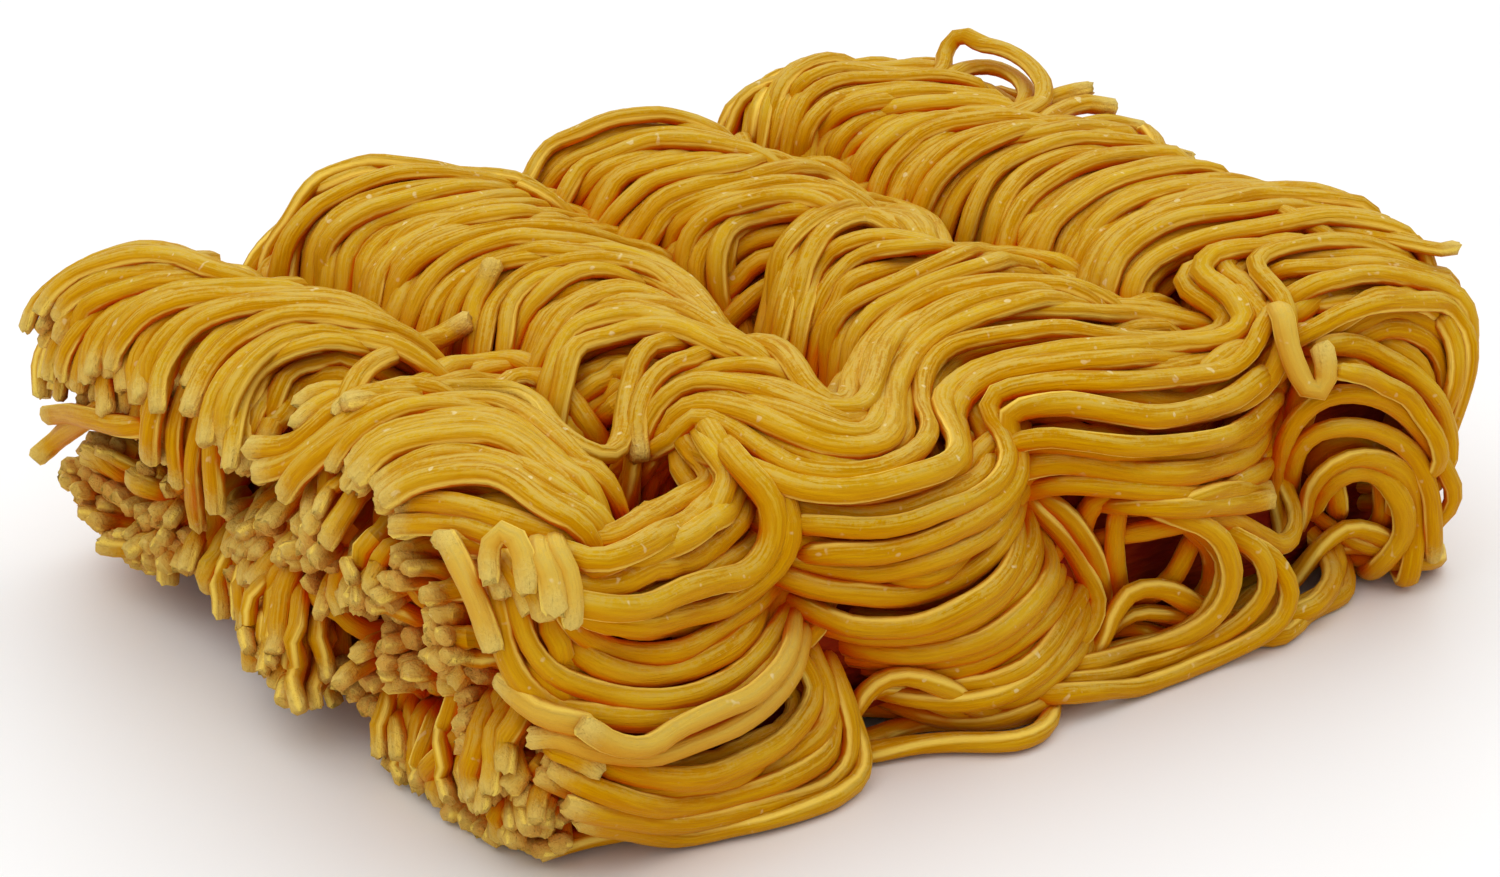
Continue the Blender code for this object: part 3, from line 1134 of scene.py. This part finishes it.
class Pile:
    """The points of all strands, with what keeps each in its place."""

    def __init__(self):
        self.counts = [len(s.points) for s in strands]
        self.points = np.vstack([s.points for s in strands])
        self.owner = np.repeat(np.arange(len(strands)), self.counts)
        self.place = np.concatenate([np.arange(c) for c in self.counts])
        self.hold = np.repeat([s.hold for s in strands], self.counts)[:, None]
        self.seen = np.repeat([s.seen for s in strands], self.counts)[:, None]
        self.home = home = self.points.copy()
        self.links = np.flatnonzero(self.owner[:-1] == self.owner[1:])
        self.inner = inner = self.links[self.place[self.links] > 0]
        self.rest = np.linalg.norm(home[self.links + 1] - home[self.links], axis=1)
        self.curl = home[inner] - 0.5 * (home[inner - 1] + home[inner + 1])
        self.sight = home - CAMERA_PLACE
        self.sight /= np.linalg.norm(self.sight, axis=1, keepdims=True)

    def push_apart(self, a, b):
        gap = self.points[a] - self.points[b]
        distance = np.linalg.norm(gap, axis=1) + 1e-6
        overlap = np.maximum(0, CONTACT - distance)
        push = gap * (0.5 * overlap / distance)[:, None]
        total = len(self.points)
        move = [np.bincount(a, push[:, k], total) - np.bincount(b, push[:, k], total) for k in range(3)]
        touched = np.bincount(a, overlap > 0, total) + np.bincount(b, overlap > 0, total)
        self.points += np.stack(move, axis=1) / np.maximum(1.0, CROWD_SHARE * touched)[:, None]

    def draw_home(self):
        """Back towards home: firmly across the line of sight, loosely along it."""
        away = self.home - self.points
        along = (away * self.sight).sum(axis=1, keepdims=True) * self.sight
        in_view = self.hold * (away - along) + SIGHT_SHARE * self.hold * along
        self.points += np.where(self.seen, in_view, HIDDEN_SHARE * self.hold * away)

    def keep_lines(self):
        """Keep each strand's bends and its length."""
        points, inner, links = self.points, self.inner, self.links
        bend = 0.5 * (points[inner - 1] + points[inner + 1]) + self.curl - points[inner]
        points[inner] += BEND_SHARE * bend
        chord = points[links + 1] - points[links]
        size = np.linalg.norm(chord, axis=1) + 1e-9
        fix = chord * (LENGTH_SHARE * (1 - self.rest / size))[:, None]
        points[links] += fix
        points[links + 1] -= fix


def settle():
    """Push strands part of the way apart where they overlap, and keep their lines smooth."""
    pile = Pile()
    for turn in range(ROUNDS):
        if turn % ROUNDS_A_SEARCH == 0:
            pairs = close_pairs(pile.points, pile.owner, pile.place, SEARCH_REACH)
        pile.push_apart(*pairs)
        pile.draw_home()
        pile.keep_lines()
        pile.keep_lines()
        pile.points[:, 2] = np.maximum(pile.points[:, 2], RADIUS)
    starts = np.cumsum([0] + pile.counts)
    for strand, low, high in zip(strands, starts[:-1], starts[1:]):
        strand.points = pile.points[low:high]


# ---------------- how open each place is
CELL = 0.75
MARGIN = 12.0
SIGHT_STEPS = 9
SIGHT_GROWTH = 0.12
SIGHT_START = 0.4
SKY_DIRECTIONS = 18
BLOCKING = 0.55
SIDE_LIGHT = 0.35


def around():
    """Directions spread evenly over a sphere."""
    turn = math.pi * (1 + math.sqrt(5)) * np.arange(SKY_DIRECTIONS)
    height = 1 - 2 * (np.arange(SKY_DIRECTIONS) + 0.5) / SKY_DIRECTIONS
    level = np.sqrt(1 - height**2)
    return np.stack([level * np.cos(turn), level * np.sin(turn), height], axis=1)


class Crowd:
    """Where strands are, as a grid of cells, to tell how much of the sky a place sees."""

    def __init__(self):
        points = np.vstack([s.points for s in strands])
        self.low = points.min(axis=0) - MARGIN
        self.shape = np.ceil((points.max(axis=0) + MARGIN - self.low) / CELL).astype(int)
        self.directions = around()
        filled = np.zeros(self.shape, np.float32)
        middles = np.vstack([points[:-1], (points[:-1] + points[1:]) / 2])
        near = np.linalg.norm(np.vstack([np.diff(points, axis=0)] * 2), axis=1) < 2 * STEP
        middles = middles[near]
        for offset in np.array([(i, j, k) for i in (-1, 0, 1) for j in (-1, 0, 1) for k in (-1, 0, 1)]):
            cells = np.floor((middles - self.low) / CELL).astype(int) + offset
            centres = self.low + (cells + 0.5) * CELL
            inside = np.linalg.norm(centres - middles, axis=1) < RADIUS
            filled[tuple(cells[inside].T)] = 1.0
        self.filled = filled.ravel()

    def blocked(self, places, normals, direction):
        """How many strand cells are in the way from each place in a direction."""
        count = np.zeros(len(places))
        for step in range(1, SIGHT_STEPS + 1):
            reach = places + normals * SIGHT_START + direction * (step * CELL * (1 + SIGHT_GROWTH * step))
            cell = np.clip(((reach - self.low) / CELL).astype(int), 0, self.shape - 1)
            count += self.filled[(cell[:, 0] * self.shape[1] + cell[:, 1]) * self.shape[2] + cell[:, 2]]
        return count

    def openness(self, places, normals):
        """The share of all around that is seen from each place, and the share of daylight it gets."""
        seen, whole, lit = np.zeros(len(places)), np.zeros(len(places)), np.zeros(len(places))
        upward = np.maximum(0, self.directions[:, 2])
        skies = SIDE_LIGHT + upward
        for direction, sky in zip(self.directions, skies):
            facing = np.maximum(0, normals @ direction)
            through = facing * np.exp(-BLOCKING * self.blocked(places, normals, direction))
            seen += through
            lit += through * sky
            whole += facing
        return seen / np.maximum(whole, 1e-6), lit / (upward * skies).sum()


# ---------------- ribbons
SIDES = 10
ANGLES = np.linspace(0, 2 * math.pi, SIDES, endpoint=False)
SQUARENESS = (2.1, 3.0)
WIDE = (1.02, 1.15)
THIN = (0.74, 0.92)
THICKNESS = (0.90, 1.13)
SWELL = (5, 0.035)
FINE_SWELL = (2, 0.014)
CAP_LENGTH = 0.35
CAP_WIDTH = 0.66
RIM_WIDTH = 0.94
RAGGED = 0.09
CHIPS = 0.13
UNEVEN = 0.015
FLAT_BLUR = 3.0
UPRIGHT_SHARE = FLAT_BLUR * 0.02
FIRST_SIDE = (0.6, 0.0, 0.8)
TWIST_SHARE = 0.35
NO_CUT = 99.0
DRY_TONE = 1.4
SHARP_ANGLE = math.radians(60)


def capped_line(strand):
    """The strand's line with a rounded tip past each cut end, and each ring's share of the width."""
    line, widths = strand.points, np.ones(len(strand.points))
    if strand.cut[0]:
        ahead = line[0] - line[1]
        line = np.vstack([line[0] + ahead / np.linalg.norm(ahead) * CAP_LENGTH, line])
        widths = np.concatenate([[CAP_WIDTH, RIM_WIDTH], widths[1:]])
    if strand.cut[1]:
        ahead = line[-1] - line[-2]
        line = np.vstack([line, line[-1] + ahead / np.linalg.norm(ahead) * CAP_LENGTH])
        widths = np.concatenate([widths[:-1], [RIM_WIDTH, CAP_WIDTH]])
    return line, widths


def side_vectors(line, ahead):
    """Unit vectors across the line at each point: along the block's surface, and out of it."""
    outward = np.array([WHOLE.normal(point) for point in line])
    outward = np.stack([blurred(outward[:, k], FLAT_BLUR) for k in range(3)], axis=1)
    outward += UPRIGHT_SHARE * UP
    sides = np.cross(ahead, outward)
    side = sides[0] if np.linalg.norm(sides[0]) > 0.1 else np.cross(ahead[0], FIRST_SIDE)
    steady = []
    for way, wanted in zip(ahead, sides):
        side = side - way * (side @ way)
        side /= np.linalg.norm(side)
        side = side + TWIST_SHARE * wanted * (1.0 if side @ wanted > 0 else -1.0)
        side /= np.linalg.norm(side)
        steady.append(side)
    return np.array(steady), np.cross(ahead, steady)


def random_section():
    """A flattened section: how far each corner is to the side and outward, in radii."""
    power = random.uniform(*SQUARENESS)
    reach = (np.abs(np.cos(ANGLES)) ** power + np.abs(np.sin(ANGLES)) ** power) ** (-1 / power)
    reach /= reach.mean()
    wide, thin = random.uniform(*WIDE), random.uniform(*THIN)
    return wide * reach * np.cos(ANGLES), thin * reach * np.sin(ANGLES)


def random_radii(widths):
    """The radius at each corner of each ring, uneven along the strand and rough at its cut ends."""
    count = len(widths)
    swell = 1 + wander(count, *SWELL) + wander(count, *FINE_SWELL)
    radius = RADIUS * random.uniform(*THICKNESS) * swell * widths
    rough = np.where(widths < 1, RAGGED, UNEVEN)[:, None] * random.normal(0, 1, (count, SIDES))
    return radius[:, None] * (1 + rough)


def tube_faces(count):
    """The faces of a tube of count rings, with both its ends closed."""
    rows = np.arange(count - 1)[:, None] * SIDES
    column = np.arange(SIDES)[None, :]
    following = (column + 1) % SIDES
    quads = [rows + column, rows + following, rows + SIDES + following, rows + SIDES + column]
    faces = [tuple(q) for q in np.stack(quads, axis=2).reshape(-1, 4)]
    faces.append(tuple(range(SIDES))[::-1])
    faces.append(tuple(range((count - 1) * SIDES, count * SIDES)))
    return faces


def tube(strand):
    """One strand's corners, its faces, and for each corner its normal, cut distance and grain."""
    line, widths = capped_line(strand)
    count = len(line)
    ahead = np.gradient(line, axis=0)
    ahead /= np.linalg.norm(ahead, axis=1, keepdims=True)
    sides, others = side_vectors(line, ahead)
    across, out = random_section()
    ring = sides[:, None] * across[None, :, None] + others[:, None] * out[None, :, None]
    corners = line[:, None] + ring * random_radii(widths)[:, :, None]
    chips = np.where(widths < 1, CHIPS, 0.0)[:, None] * random.normal(0, 1, (count, SIDES))
    corners += ahead[:, None] * chips[:, :, None]
    along = lengths_along(line)
    head = along if strand.cut[0] else np.full(count, NO_CUT)
    tail = along[-1] - along if strand.cut[1] else np.full(count, NO_CUT)
    turns = (np.tile(np.cos(ANGLES), count), np.tile(np.sin(ANGLES), count))
    grain = np.stack([*turns, np.repeat(along, SIDES)], axis=1)
    normals = (ring / np.linalg.norm(ring, axis=2, keepdims=True)).reshape(-1, 3)
    from_cut = np.repeat(np.minimum(head, tail), SIDES)
    return corners.reshape(-1, 3), tube_faces(count), normals, from_cut, grain


def add_piece(name, corners, faces, material):
    """A piece that stands for the CAD node, from corners in millimetres."""
    mesh = bpy.data.meshes.new(name)
    mesh.from_pydata((np.array(corners) * MM).tolist(), [], faces)
    mesh.shade_smooth()
    mesh.materials.append(material)
    piece = bpy.data.objects.new(name, mesh)
    bpy.context.scene.collection.objects.link(piece)
    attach(piece, "root")
    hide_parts(NODE)
    return mesh


def build_strands(name, members, material, crowd):
    """One piece of all the given strands, with the numbers that their material reads."""
    tubes, faces, tone, start = [], [], [], 0
    for strand in members:
        tubes.append(tube(strand))
        corners = len(tubes[-1][0])
        faces += [tuple(i + start for i in face) for face in tubes[-1][1]]
        tone.append(np.full(corners, DRY_TONE if strand.dry else random.uniform(0, 1)))
        start += corners
    corners, _, normals, from_cut, grain = zip(*tubes)
    corners, normals = np.vstack(corners), np.vstack(normals)
    openness, daylight = crowd.openness(corners, normals)
    numbers = {
        "from_cut": np.concatenate(from_cut),
        "openness": openness,
        "daylight": daylight,
        "skyward": normals[:, 2],
        "tone": np.concatenate(tone),
    }
    mesh = add_piece(name, corners, faces, material)
    for label, values in numbers.items():
        mesh.attributes.new(label, "FLOAT", "POINT").data.foreach_set("value", values)
    along = mesh.attributes.new("grain", "FLOAT_VECTOR", "POINT")
    along.data.foreach_set("vector", np.vstack(grain).ravel())
    mesh.set_sharp_from_angle(angle=SHARP_ANGLE)


# ---------------- materials
class Shading:
    """A material's node tree, with short ways to add to it."""

    def __init__(self, name, roughness, specular):
        self.material = bpy.data.materials.new(name)
        self.material.use_nodes = True
        self.tree = self.material.node_tree
        self.shader = self.tree.nodes["Principled BSDF"]
        self.shader.inputs["Roughness"].default_value = roughness
        self.shader.inputs["Specular IOR Level"].default_value = specular

    def add(self, kind, inputs, **settings):
        """A new node, with a number, a colour or another node's output in each given input."""
        node = self.tree.nodes.new(kind)
        for key, value in settings.items():
            setattr(node, key, value)
        for key, value in inputs.items():
            self.feed(node.inputs[key], value)
        return node.outputs

    def feed(self, socket, value):
        if isinstance(value, bpy.types.NodeSocket):
            self.tree.links.new(value, socket)
        else:
            socket.default_value = value

    def attribute(self, name, output="Fac"):
        return self.add("ShaderNodeAttribute", {}, attribute_name=name)[output]

    def object_place(self):
        return self.add("ShaderNodeTexCoord", {})["Object"]

    def math(self, operation, first, second=0.0):
        return self.add("ShaderNodeMath", {0: first, 1: second}, operation=operation)[0]

    def times(self, first, second):
        return self.math("MULTIPLY", first, second)

    def scaled(self, vector, factors, offset=(0.0, 0.0, 0.0)):
        inputs = {0: vector, 1: factors, 2: offset}
        return self.add("ShaderNodeVectorMath", inputs, operation="MULTIPLY_ADD")[0]

    def noise(self, vector, scale, detail=2.0, roughness=0.5):
        inputs = {"Vector": vector, "Scale": scale, "Detail": detail, "Roughness": roughness}
        return self.add("ShaderNodeTexNoise", inputs)["Fac"]

    def between(self, value, low, high, kind="SMOOTHSTEP"):
        """0 at low and before it, 1 at high and past it."""
        inputs = {"Value": value, "From Min": low, "From Max": high}
        return self.add("ShaderNodeMapRange", inputs, clamp=True, interpolation_type=kind)["Result"]

    def mixed(self, share, first, second):
        inputs = {"Factor": share, "A": first, "B": second}
        return self.add("ShaderNodeMix", inputs, data_type="RGBA")["Result"]

    def bump(self, height, strength, distance, under=None):
        inputs = {"Height": height, "Strength": strength, "Distance": distance}
        if under is not None:
            inputs["Normal"] = under
        return self.add("ShaderNodeBump", inputs)["Normal"]


DEEP_GOLD = (0.490, 0.222, 0.000, 1.0)
GOLD = (0.650, 0.365, 0.000, 1.0)
PALE_GOLD = (0.705, 0.460, 0.020, 1.0)
SPECK_WHITE = (0.850, 0.720, 0.380, 1.0)
CUT_CREAM = (0.790, 0.590, 0.160, 1.0)
# Pale tan for the sky-facing side: dust, and a painted highlight of the light from above
DUST_AND_SHEEN_TAN = (0.620, 0.425, 0.088, 1.0)
# Painted rim light along the thin edges of open strands
PAINTED_RIM_LIGHT = (1.000, 0.720, 0.120, 1.0)
DRY_CREAM = (0.820, 0.590, 0.120, 1.0)
SHADED_AMBER = (0.600, 0.215, 0.000, 1.0)
# Painted shade, red, deep inside between strands
PAINTED_SHADE_RED = (0.680, 0.055, 0.000, 1.0)
# Painted shade of the core that closes the gaps between strands
CORE_SHADE_RED = (0.230, 0.008, 0.000, 1.0)
CORE_SHADE_BROWN = (0.340, 0.032, 0.000, 1.0)
SHINE_TINT = (1.0, 0.75, 0.10, 1.0)
SHEEN_TINT = (1.0, 0.72, 0.06, 1.0)

# How each pattern runs along the grain: across it twice, then along the strand
STREAK_GRAIN = (1.5, 1.5, 0.09)
PATCH_GRAIN = (0.4, 0.4, 0.12)
LUMP_GRAIN = (0.9, 0.9, 0.35)
TONE_OFFSET = 400.0
DUST_AND_SHEEN_SCALE = 2200.0
SPECK_SCALE = 1000.0
CRUMB_SCALE = 1400.0
CRUMB_DEPTH = -2.6

# Where each part of the look starts and is full, and how strong it gets
STREAK_RANGE = (0.36, 0.62)
PATCH_RANGE = (0.45, 0.75)
PATCH_SHARE = 0.6
PALE_TONES = (0.5, 1.0)
PALE_SHARE = 0.35
DRY_TONES = (1.0, DRY_TONE)
DRY_SHARE = 0.5
# Patches of dust and painted highlight on the sky-facing side, made from streaks and noise
STREAKS_IN_DUST_AND_SHEEN = 0.6
NOISE_IN_DUST_AND_SHEEN = 0.4
DUST_AND_SHEEN_PATCH_RANGE = (0.44, 0.57)
SKYWARD_RANGE = (0.1, 0.9)
DUST_AND_SHEEN_SHARE = 0.75
SPECK_RANGE = (0.70, 0.78)
SPECK_SHARE = 0.6
CUT_RANGE = (1.8, -1.2)
CUT_SHARE = 0.7
# Where the painted shade goes: amber by daylight, red by openness and daylight, less at cut ends
AMBER_DAYLIGHT = (0.84, 0.20)
AMBER_AT_CUT = (1.6, 0.0)
RED_OPENNESS = (0.46, 0.15)
RED_DAYLIGHT = (0.36, 0.08)
RED_AT_CUT = (1.3, 0.0)
# Where the painted rim light goes, and how strong it is
RIM_LIGHT_RANGE = (0.84, 0.98)
RIM_LIGHT_OPENNESS = (0.42, 0.62)
RIM_LIGHT_SHARE = 0.8
MOTTLING_RANGE = (0.35, 0.65)
MOTTLING_SCALE = 500.0
MOTTLING_DRAW = (0.3, 1.0, 1.0)
SHEEN = 0.2
SHEEN_ROUGHNESS = 0.3


class NoodleLook(Shading):
    """Rice paste that looks slightly see-through: streaked along the strand, crumbly where cut."""

    # Its colour also holds painted shade, a painted highlight on the sky-facing side and painted rim
    # light
    def __init__(self):
        super().__init__("rice_noodle", roughness=0.45, specular=0.08)
        self.tone = self.attribute("tone")
        self.openness = self.attribute("openness")
        self.daylight = self.attribute("daylight")
        self.grain = self.attribute("grain", "Vector")
        self.place = self.object_place()
        self.apart = self.add("ShaderNodeCombineXYZ", {"Z": self.times(self.tone, TONE_OFFSET)})[0]
        self.streaks = self.along_grain(STREAK_GRAIN, 2.2, 3.0, 0.6)
        self.crumbs = self.noise(self.place, CRUMB_SCALE, 3.0, 0.7)
        reach = self.math("ADD", self.attribute("from_cut"), self.times(self.crumbs, CRUMB_DEPTH))
        self.cut = self.between(reach, *CUT_RANGE)

    def along_grain(self, grain, scale, detail, roughness):
        """A pattern drawn out along the strand, and different on every strand."""
        return self.noise(self.scaled(self.grain, grain, self.apart), scale, detail, roughness)

    def golden(self):
        """Streaks and patches of gold, paler on some strands."""
        patches = self.along_grain(PATCH_GRAIN, 1.0, 2.0, 0.5)
        colour = self.mixed(self.between(self.streaks, *STREAK_RANGE), DEEP_GOLD, GOLD)
        patchy = self.times(self.between(patches, *PATCH_RANGE), PATCH_SHARE)
        colour = self.mixed(patchy, colour, PALE_GOLD)
        pale = self.times(self.between(self.tone, *PALE_TONES, "LINEAR"), PALE_SHARE)
        colour = self.mixed(pale, colour, PALE_GOLD)
        dry = self.times(self.between(self.tone, *DRY_TONES), DRY_SHARE)
        return self.mixed(dry, colour, DRY_CREAM)

    def dust_sheen_and_specks(self, colour):
        """Tan on the sky-facing side, in patches: dust and a painted highlight from above; and white
        specks.
        """
        dust_and_sheen_noise = self.noise(self.place, DUST_AND_SHEEN_SCALE, 3.0, 0.7)
        dust_and_sheen_patches = self.math("ADD", self.times(self.streaks, STREAKS_IN_DUST_AND_SHEEN), self.times(dust_and_sheen_noise, NOISE_IN_DUST_AND_SHEEN))
        skyward = self.between(self.attribute("skyward"), *SKYWARD_RANGE)
        dust_and_sheen = self.times(self.between(dust_and_sheen_patches, *DUST_AND_SHEEN_PATCH_RANGE), skyward)
        colour = self.mixed(self.times(dust_and_sheen, DUST_AND_SHEEN_SHARE), colour, DUST_AND_SHEEN_TAN)
        specks = self.between(self.noise(self.place, SPECK_SCALE, 1.0), *SPECK_RANGE)
        return self.mixed(self.times(specks, SPECK_SHARE), colour, SPECK_WHITE)

    def shaded(self, colour):
        """Painted shade: amber where little daylight comes, and red deep inside, but less so at cut ends.
        """
        shade = self.between(self.daylight, *AMBER_DAYLIGHT, "LINEAR")
        shade = self.times(shade, self.between(self.cut, *AMBER_AT_CUT, "LINEAR"))
        colour = self.mixed(shade, colour, SHADED_AMBER)
        closed = self.between(self.openness, *RED_OPENNESS, "LINEAR")
        dark = self.between(self.daylight, *RED_DAYLIGHT, "LINEAR")
        deep = self.math("MAXIMUM", closed, dark)
        deep = self.times(deep, self.between(self.cut, *RED_AT_CUT, "LINEAR"))
        return self.mixed(deep, colour, PAINTED_SHADE_RED)

    def with_painted_rim_light(self, colour):
        """Painted rim light: bright yellow along the thin edges of strands that lie open."""
        across = self.add("ShaderNodeSeparateXYZ", {0: self.grain})["X"]
        edge = self.between(self.math("ABSOLUTE", across), *RIM_LIGHT_RANGE)
        rim = self.times(edge, self.between(self.openness, *RIM_LIGHT_OPENNESS))
        return self.mixed(self.times(rim, RIM_LIGHT_SHARE), colour, PAINTED_RIM_LIGHT)

    def relief(self):
        """Lumps and streaks, and crumbs at the cut ends."""
        lumps = self.along_grain(LUMP_GRAIN, 1.2, 3.0, 0.6)
        normal = self.bump(lumps, 0.5, 0.0003)
        normal = self.bump(self.streaks, 0.6, 0.0003, normal)
        return self.bump(self.times(self.crumbs, self.cut), 0.7, 0.0004, normal)


def noodle_material():
    look = NoodleLook()
    colour = look.dust_sheen_and_specks(look.golden())
    colour = look.mixed(look.times(look.cut, CUT_SHARE), colour, CUT_CREAM)
    look.feed(look.shader.inputs["Base Color"], look.with_painted_rim_light(look.shaded(colour)))
    look.feed(look.shader.inputs["Normal"], look.relief())
    look.shader.inputs["Specular Tint"].default_value = SHINE_TINT
    look.shader.inputs["Sheen Weight"].default_value = SHEEN
    look.shader.inputs["Sheen Roughness"].default_value = SHEEN_ROUGHNESS
    look.shader.inputs["Sheen Tint"].default_value = SHEEN_TINT
    return look.material


def core_material():
    """Painted shade: deep red-brown, mottled like strands in the dark."""
    look = Shading("dark_inside", roughness=0.8, specular=0.1)
    place = look.scaled(look.object_place(), MOTTLING_DRAW)
    mottling = look.noise(place, MOTTLING_SCALE, 3.0, 0.6)
    colour = look.mixed(look.between(mottling, *MOTTLING_RANGE), CORE_SHADE_RED, CORE_SHADE_BROWN)
    look.feed(look.shader.inputs["Base Color"], colour)
    look.feed(look.shader.inputs["Normal"], look.bump(mottling, 0.8, 0.001))
    return look.material


# ---------------- core
CORE_DEPTH = 5.0
CORE_XS = np.linspace(-42.0, 46.0, 60)
CORE_YS = np.linspace(-33.0, 33.0, 34)
CORE_BASE = 3.5
CORE_REACH = 4
ABOVE = 80.0


def core_heights():
    """The top of the core: the CAD top, lowered, with its valleys widened."""
    tops = np.full((len(CORE_XS), len(CORE_YS)), CORE_BASE + CORE_DEPTH)
    for i, x in enumerate(CORE_XS):
        for j, y in enumerate(CORE_YS):
            hit = WHOLE.cast((x, y, ABOVE), (0, 0, -1))
            if hit is not None:
                tops[i, j] = hit[2]
    low = tops.copy()
    for i in range(len(CORE_XS)):
        low[i] = tops[max(0, i - CORE_REACH) : i + CORE_REACH + 1].min(axis=0)
    return low - CORE_DEPTH


def core_faces(rows, columns):
    """The top, the bottom and the wall round a grid of corners over a second one."""
    under = rows * columns
    faces = []
    for i in range(rows - 1):
        for j in range(columns - 1):
            a, b = i * columns + j, (i + 1) * columns + j
            faces.append((a, b, b + 1, a + 1))
            faces.append((under + a + 1, under + b + 1, under + b, under + a))
    rim = [i * columns for i in range(rows)]
    rim += [(rows - 1) * columns + j for j in range(1, columns)]
    rim += [i * columns + columns - 1 for i in range(rows - 2, -1, -1)]
    rim += list(range(columns - 2, 0, -1))
    faces += [(a, a + under, b + under, b) for a, b in zip(rim, rim[1:] + rim[:1])]
    return faces


def build_core(tops):
    """A smaller body inside the strands, which closes the view through them; its dark colour is painted
    shade.
    """
    corners = [(x, y, tops[i, j]) for i, x in enumerate(CORE_XS) for j, y in enumerate(CORE_YS)]
    corners += [(x, y, CORE_BASE) for x in CORE_XS for y in CORE_YS]
    add_piece("core", corners, core_faces(len(CORE_XS), len(CORE_YS)), core_material())


# ---------------- stage
OVERHEAD_POWER = 2.02
OVERHEAD_SPREAD = math.radians(115)
OVERHEAD_TILT = (math.radians(-12), math.radians(8), 0.0)
FILL_POWER = 0.52
FILL_SPREAD = math.radians(60)
FILL_TILT = (math.radians(30), math.radians(-50), 0.0)
ROOM_STRENGTH = 0.46
ROOM_COLOUR = (1, 1, 1, 1)
FLOOR_COLOUR = (0.9, 0.9, 0.9, 1)
FLOOR_SIZE = 4.0
FLOOR_HEIGHT = -0.0002


def build_stage():
    bpy.ops.mesh.primitive_plane_add(size=FLOOR_SIZE, location=(0, 0, FLOOR_HEIGHT))
    floor = bpy.context.active_object
    floor.name = "floor"
    material = bpy.data.materials.new("pale_floor")
    material.use_nodes = True
    material.node_tree.nodes["Principled BSDF"].inputs["Base Color"].default_value = FLOOR_COLOUR
    floor.data.materials.append(material)


def add_lamp(name, power, spread, tilt):
    light = bpy.data.lights.new(name, "SUN")
    light.energy = power
    light.angle = spread
    lamp = bpy.data.objects.new(name, light)
    lamp.rotation_euler = tilt
    bpy.context.scene.collection.objects.link(lamp)


def build_light():
    """Wide soft light from above, a weaker one from the cut end, and a pale room."""
    add_lamp("overhead_light", OVERHEAD_POWER, OVERHEAD_SPREAD, OVERHEAD_TILT)
    add_lamp("fill_light", FILL_POWER, FILL_SPREAD, FILL_TILT)
    world = bpy.data.worlds.new("pale_room")
    bpy.context.scene.world = world
    world.use_nodes = True
    world.node_tree.nodes["Background"].inputs["Color"].default_value = ROOM_COLOUR
    world.node_tree.nodes["Background"].inputs["Strength"].default_value = ROOM_STRENGTH


def build_camera():
    data = bpy.data.cameras.new("camera")
    data.lens = LENS_MM
    data.sensor_width = SENSOR_MM
    data.clip_start = CLIP_START_M
    camera = bpy.data.objects.new("camera", data)
    camera.location = CAMERA_PLACE * MM
    camera.rotation_mode = "QUATERNION"
    camera.rotation_quaternion = Vector(FORWARD).to_track_quat("-Z", "Y")
    bpy.context.scene.collection.objects.link(camera)
    bpy.context.scene.camera = camera


PIECES = {
    "strands_first_fold": ("hump_1", "lobe_1"),
    "strands_second_fold": ("hump_2", "lobe_2", "ground_loop"),
    "strands_third_fold": ("hump_3", "lobe_3"),
    "strands_fourth_fold": ("hump_4", "far_end"),
    "strands_cut_face": ("cut_face",),
    "strands_back_and_bottom": ("back_lobes", "bottom"),
    "strands_inside": ("filling",),
}


def lay_all_strands(tops):
    lay_first_hump()
    lay_hanging_ends()
    lay_second_hump()
    lay_third_hump()
    lay_fourth_hump()
    lay_far_loops()
    lay_cut_face()
    lay_back_lobes()
    lay_far_arches()
    lay_bottom()
    lay_filling(tops)


def build():
    build_camera()
    tops = core_heights()
    lay_all_strands(tops)
    settle()
    noodle = noodle_material()
    crowd = Crowd()
    for name, groups in PIECES.items():
        build_strands(name, [s for s in strands if s.group in groups], noodle, crowd)
    build_core(tops)
    build_stage()
    build_light()
    bpy.context.scene.view_settings.view_transform = "Standard"


build()
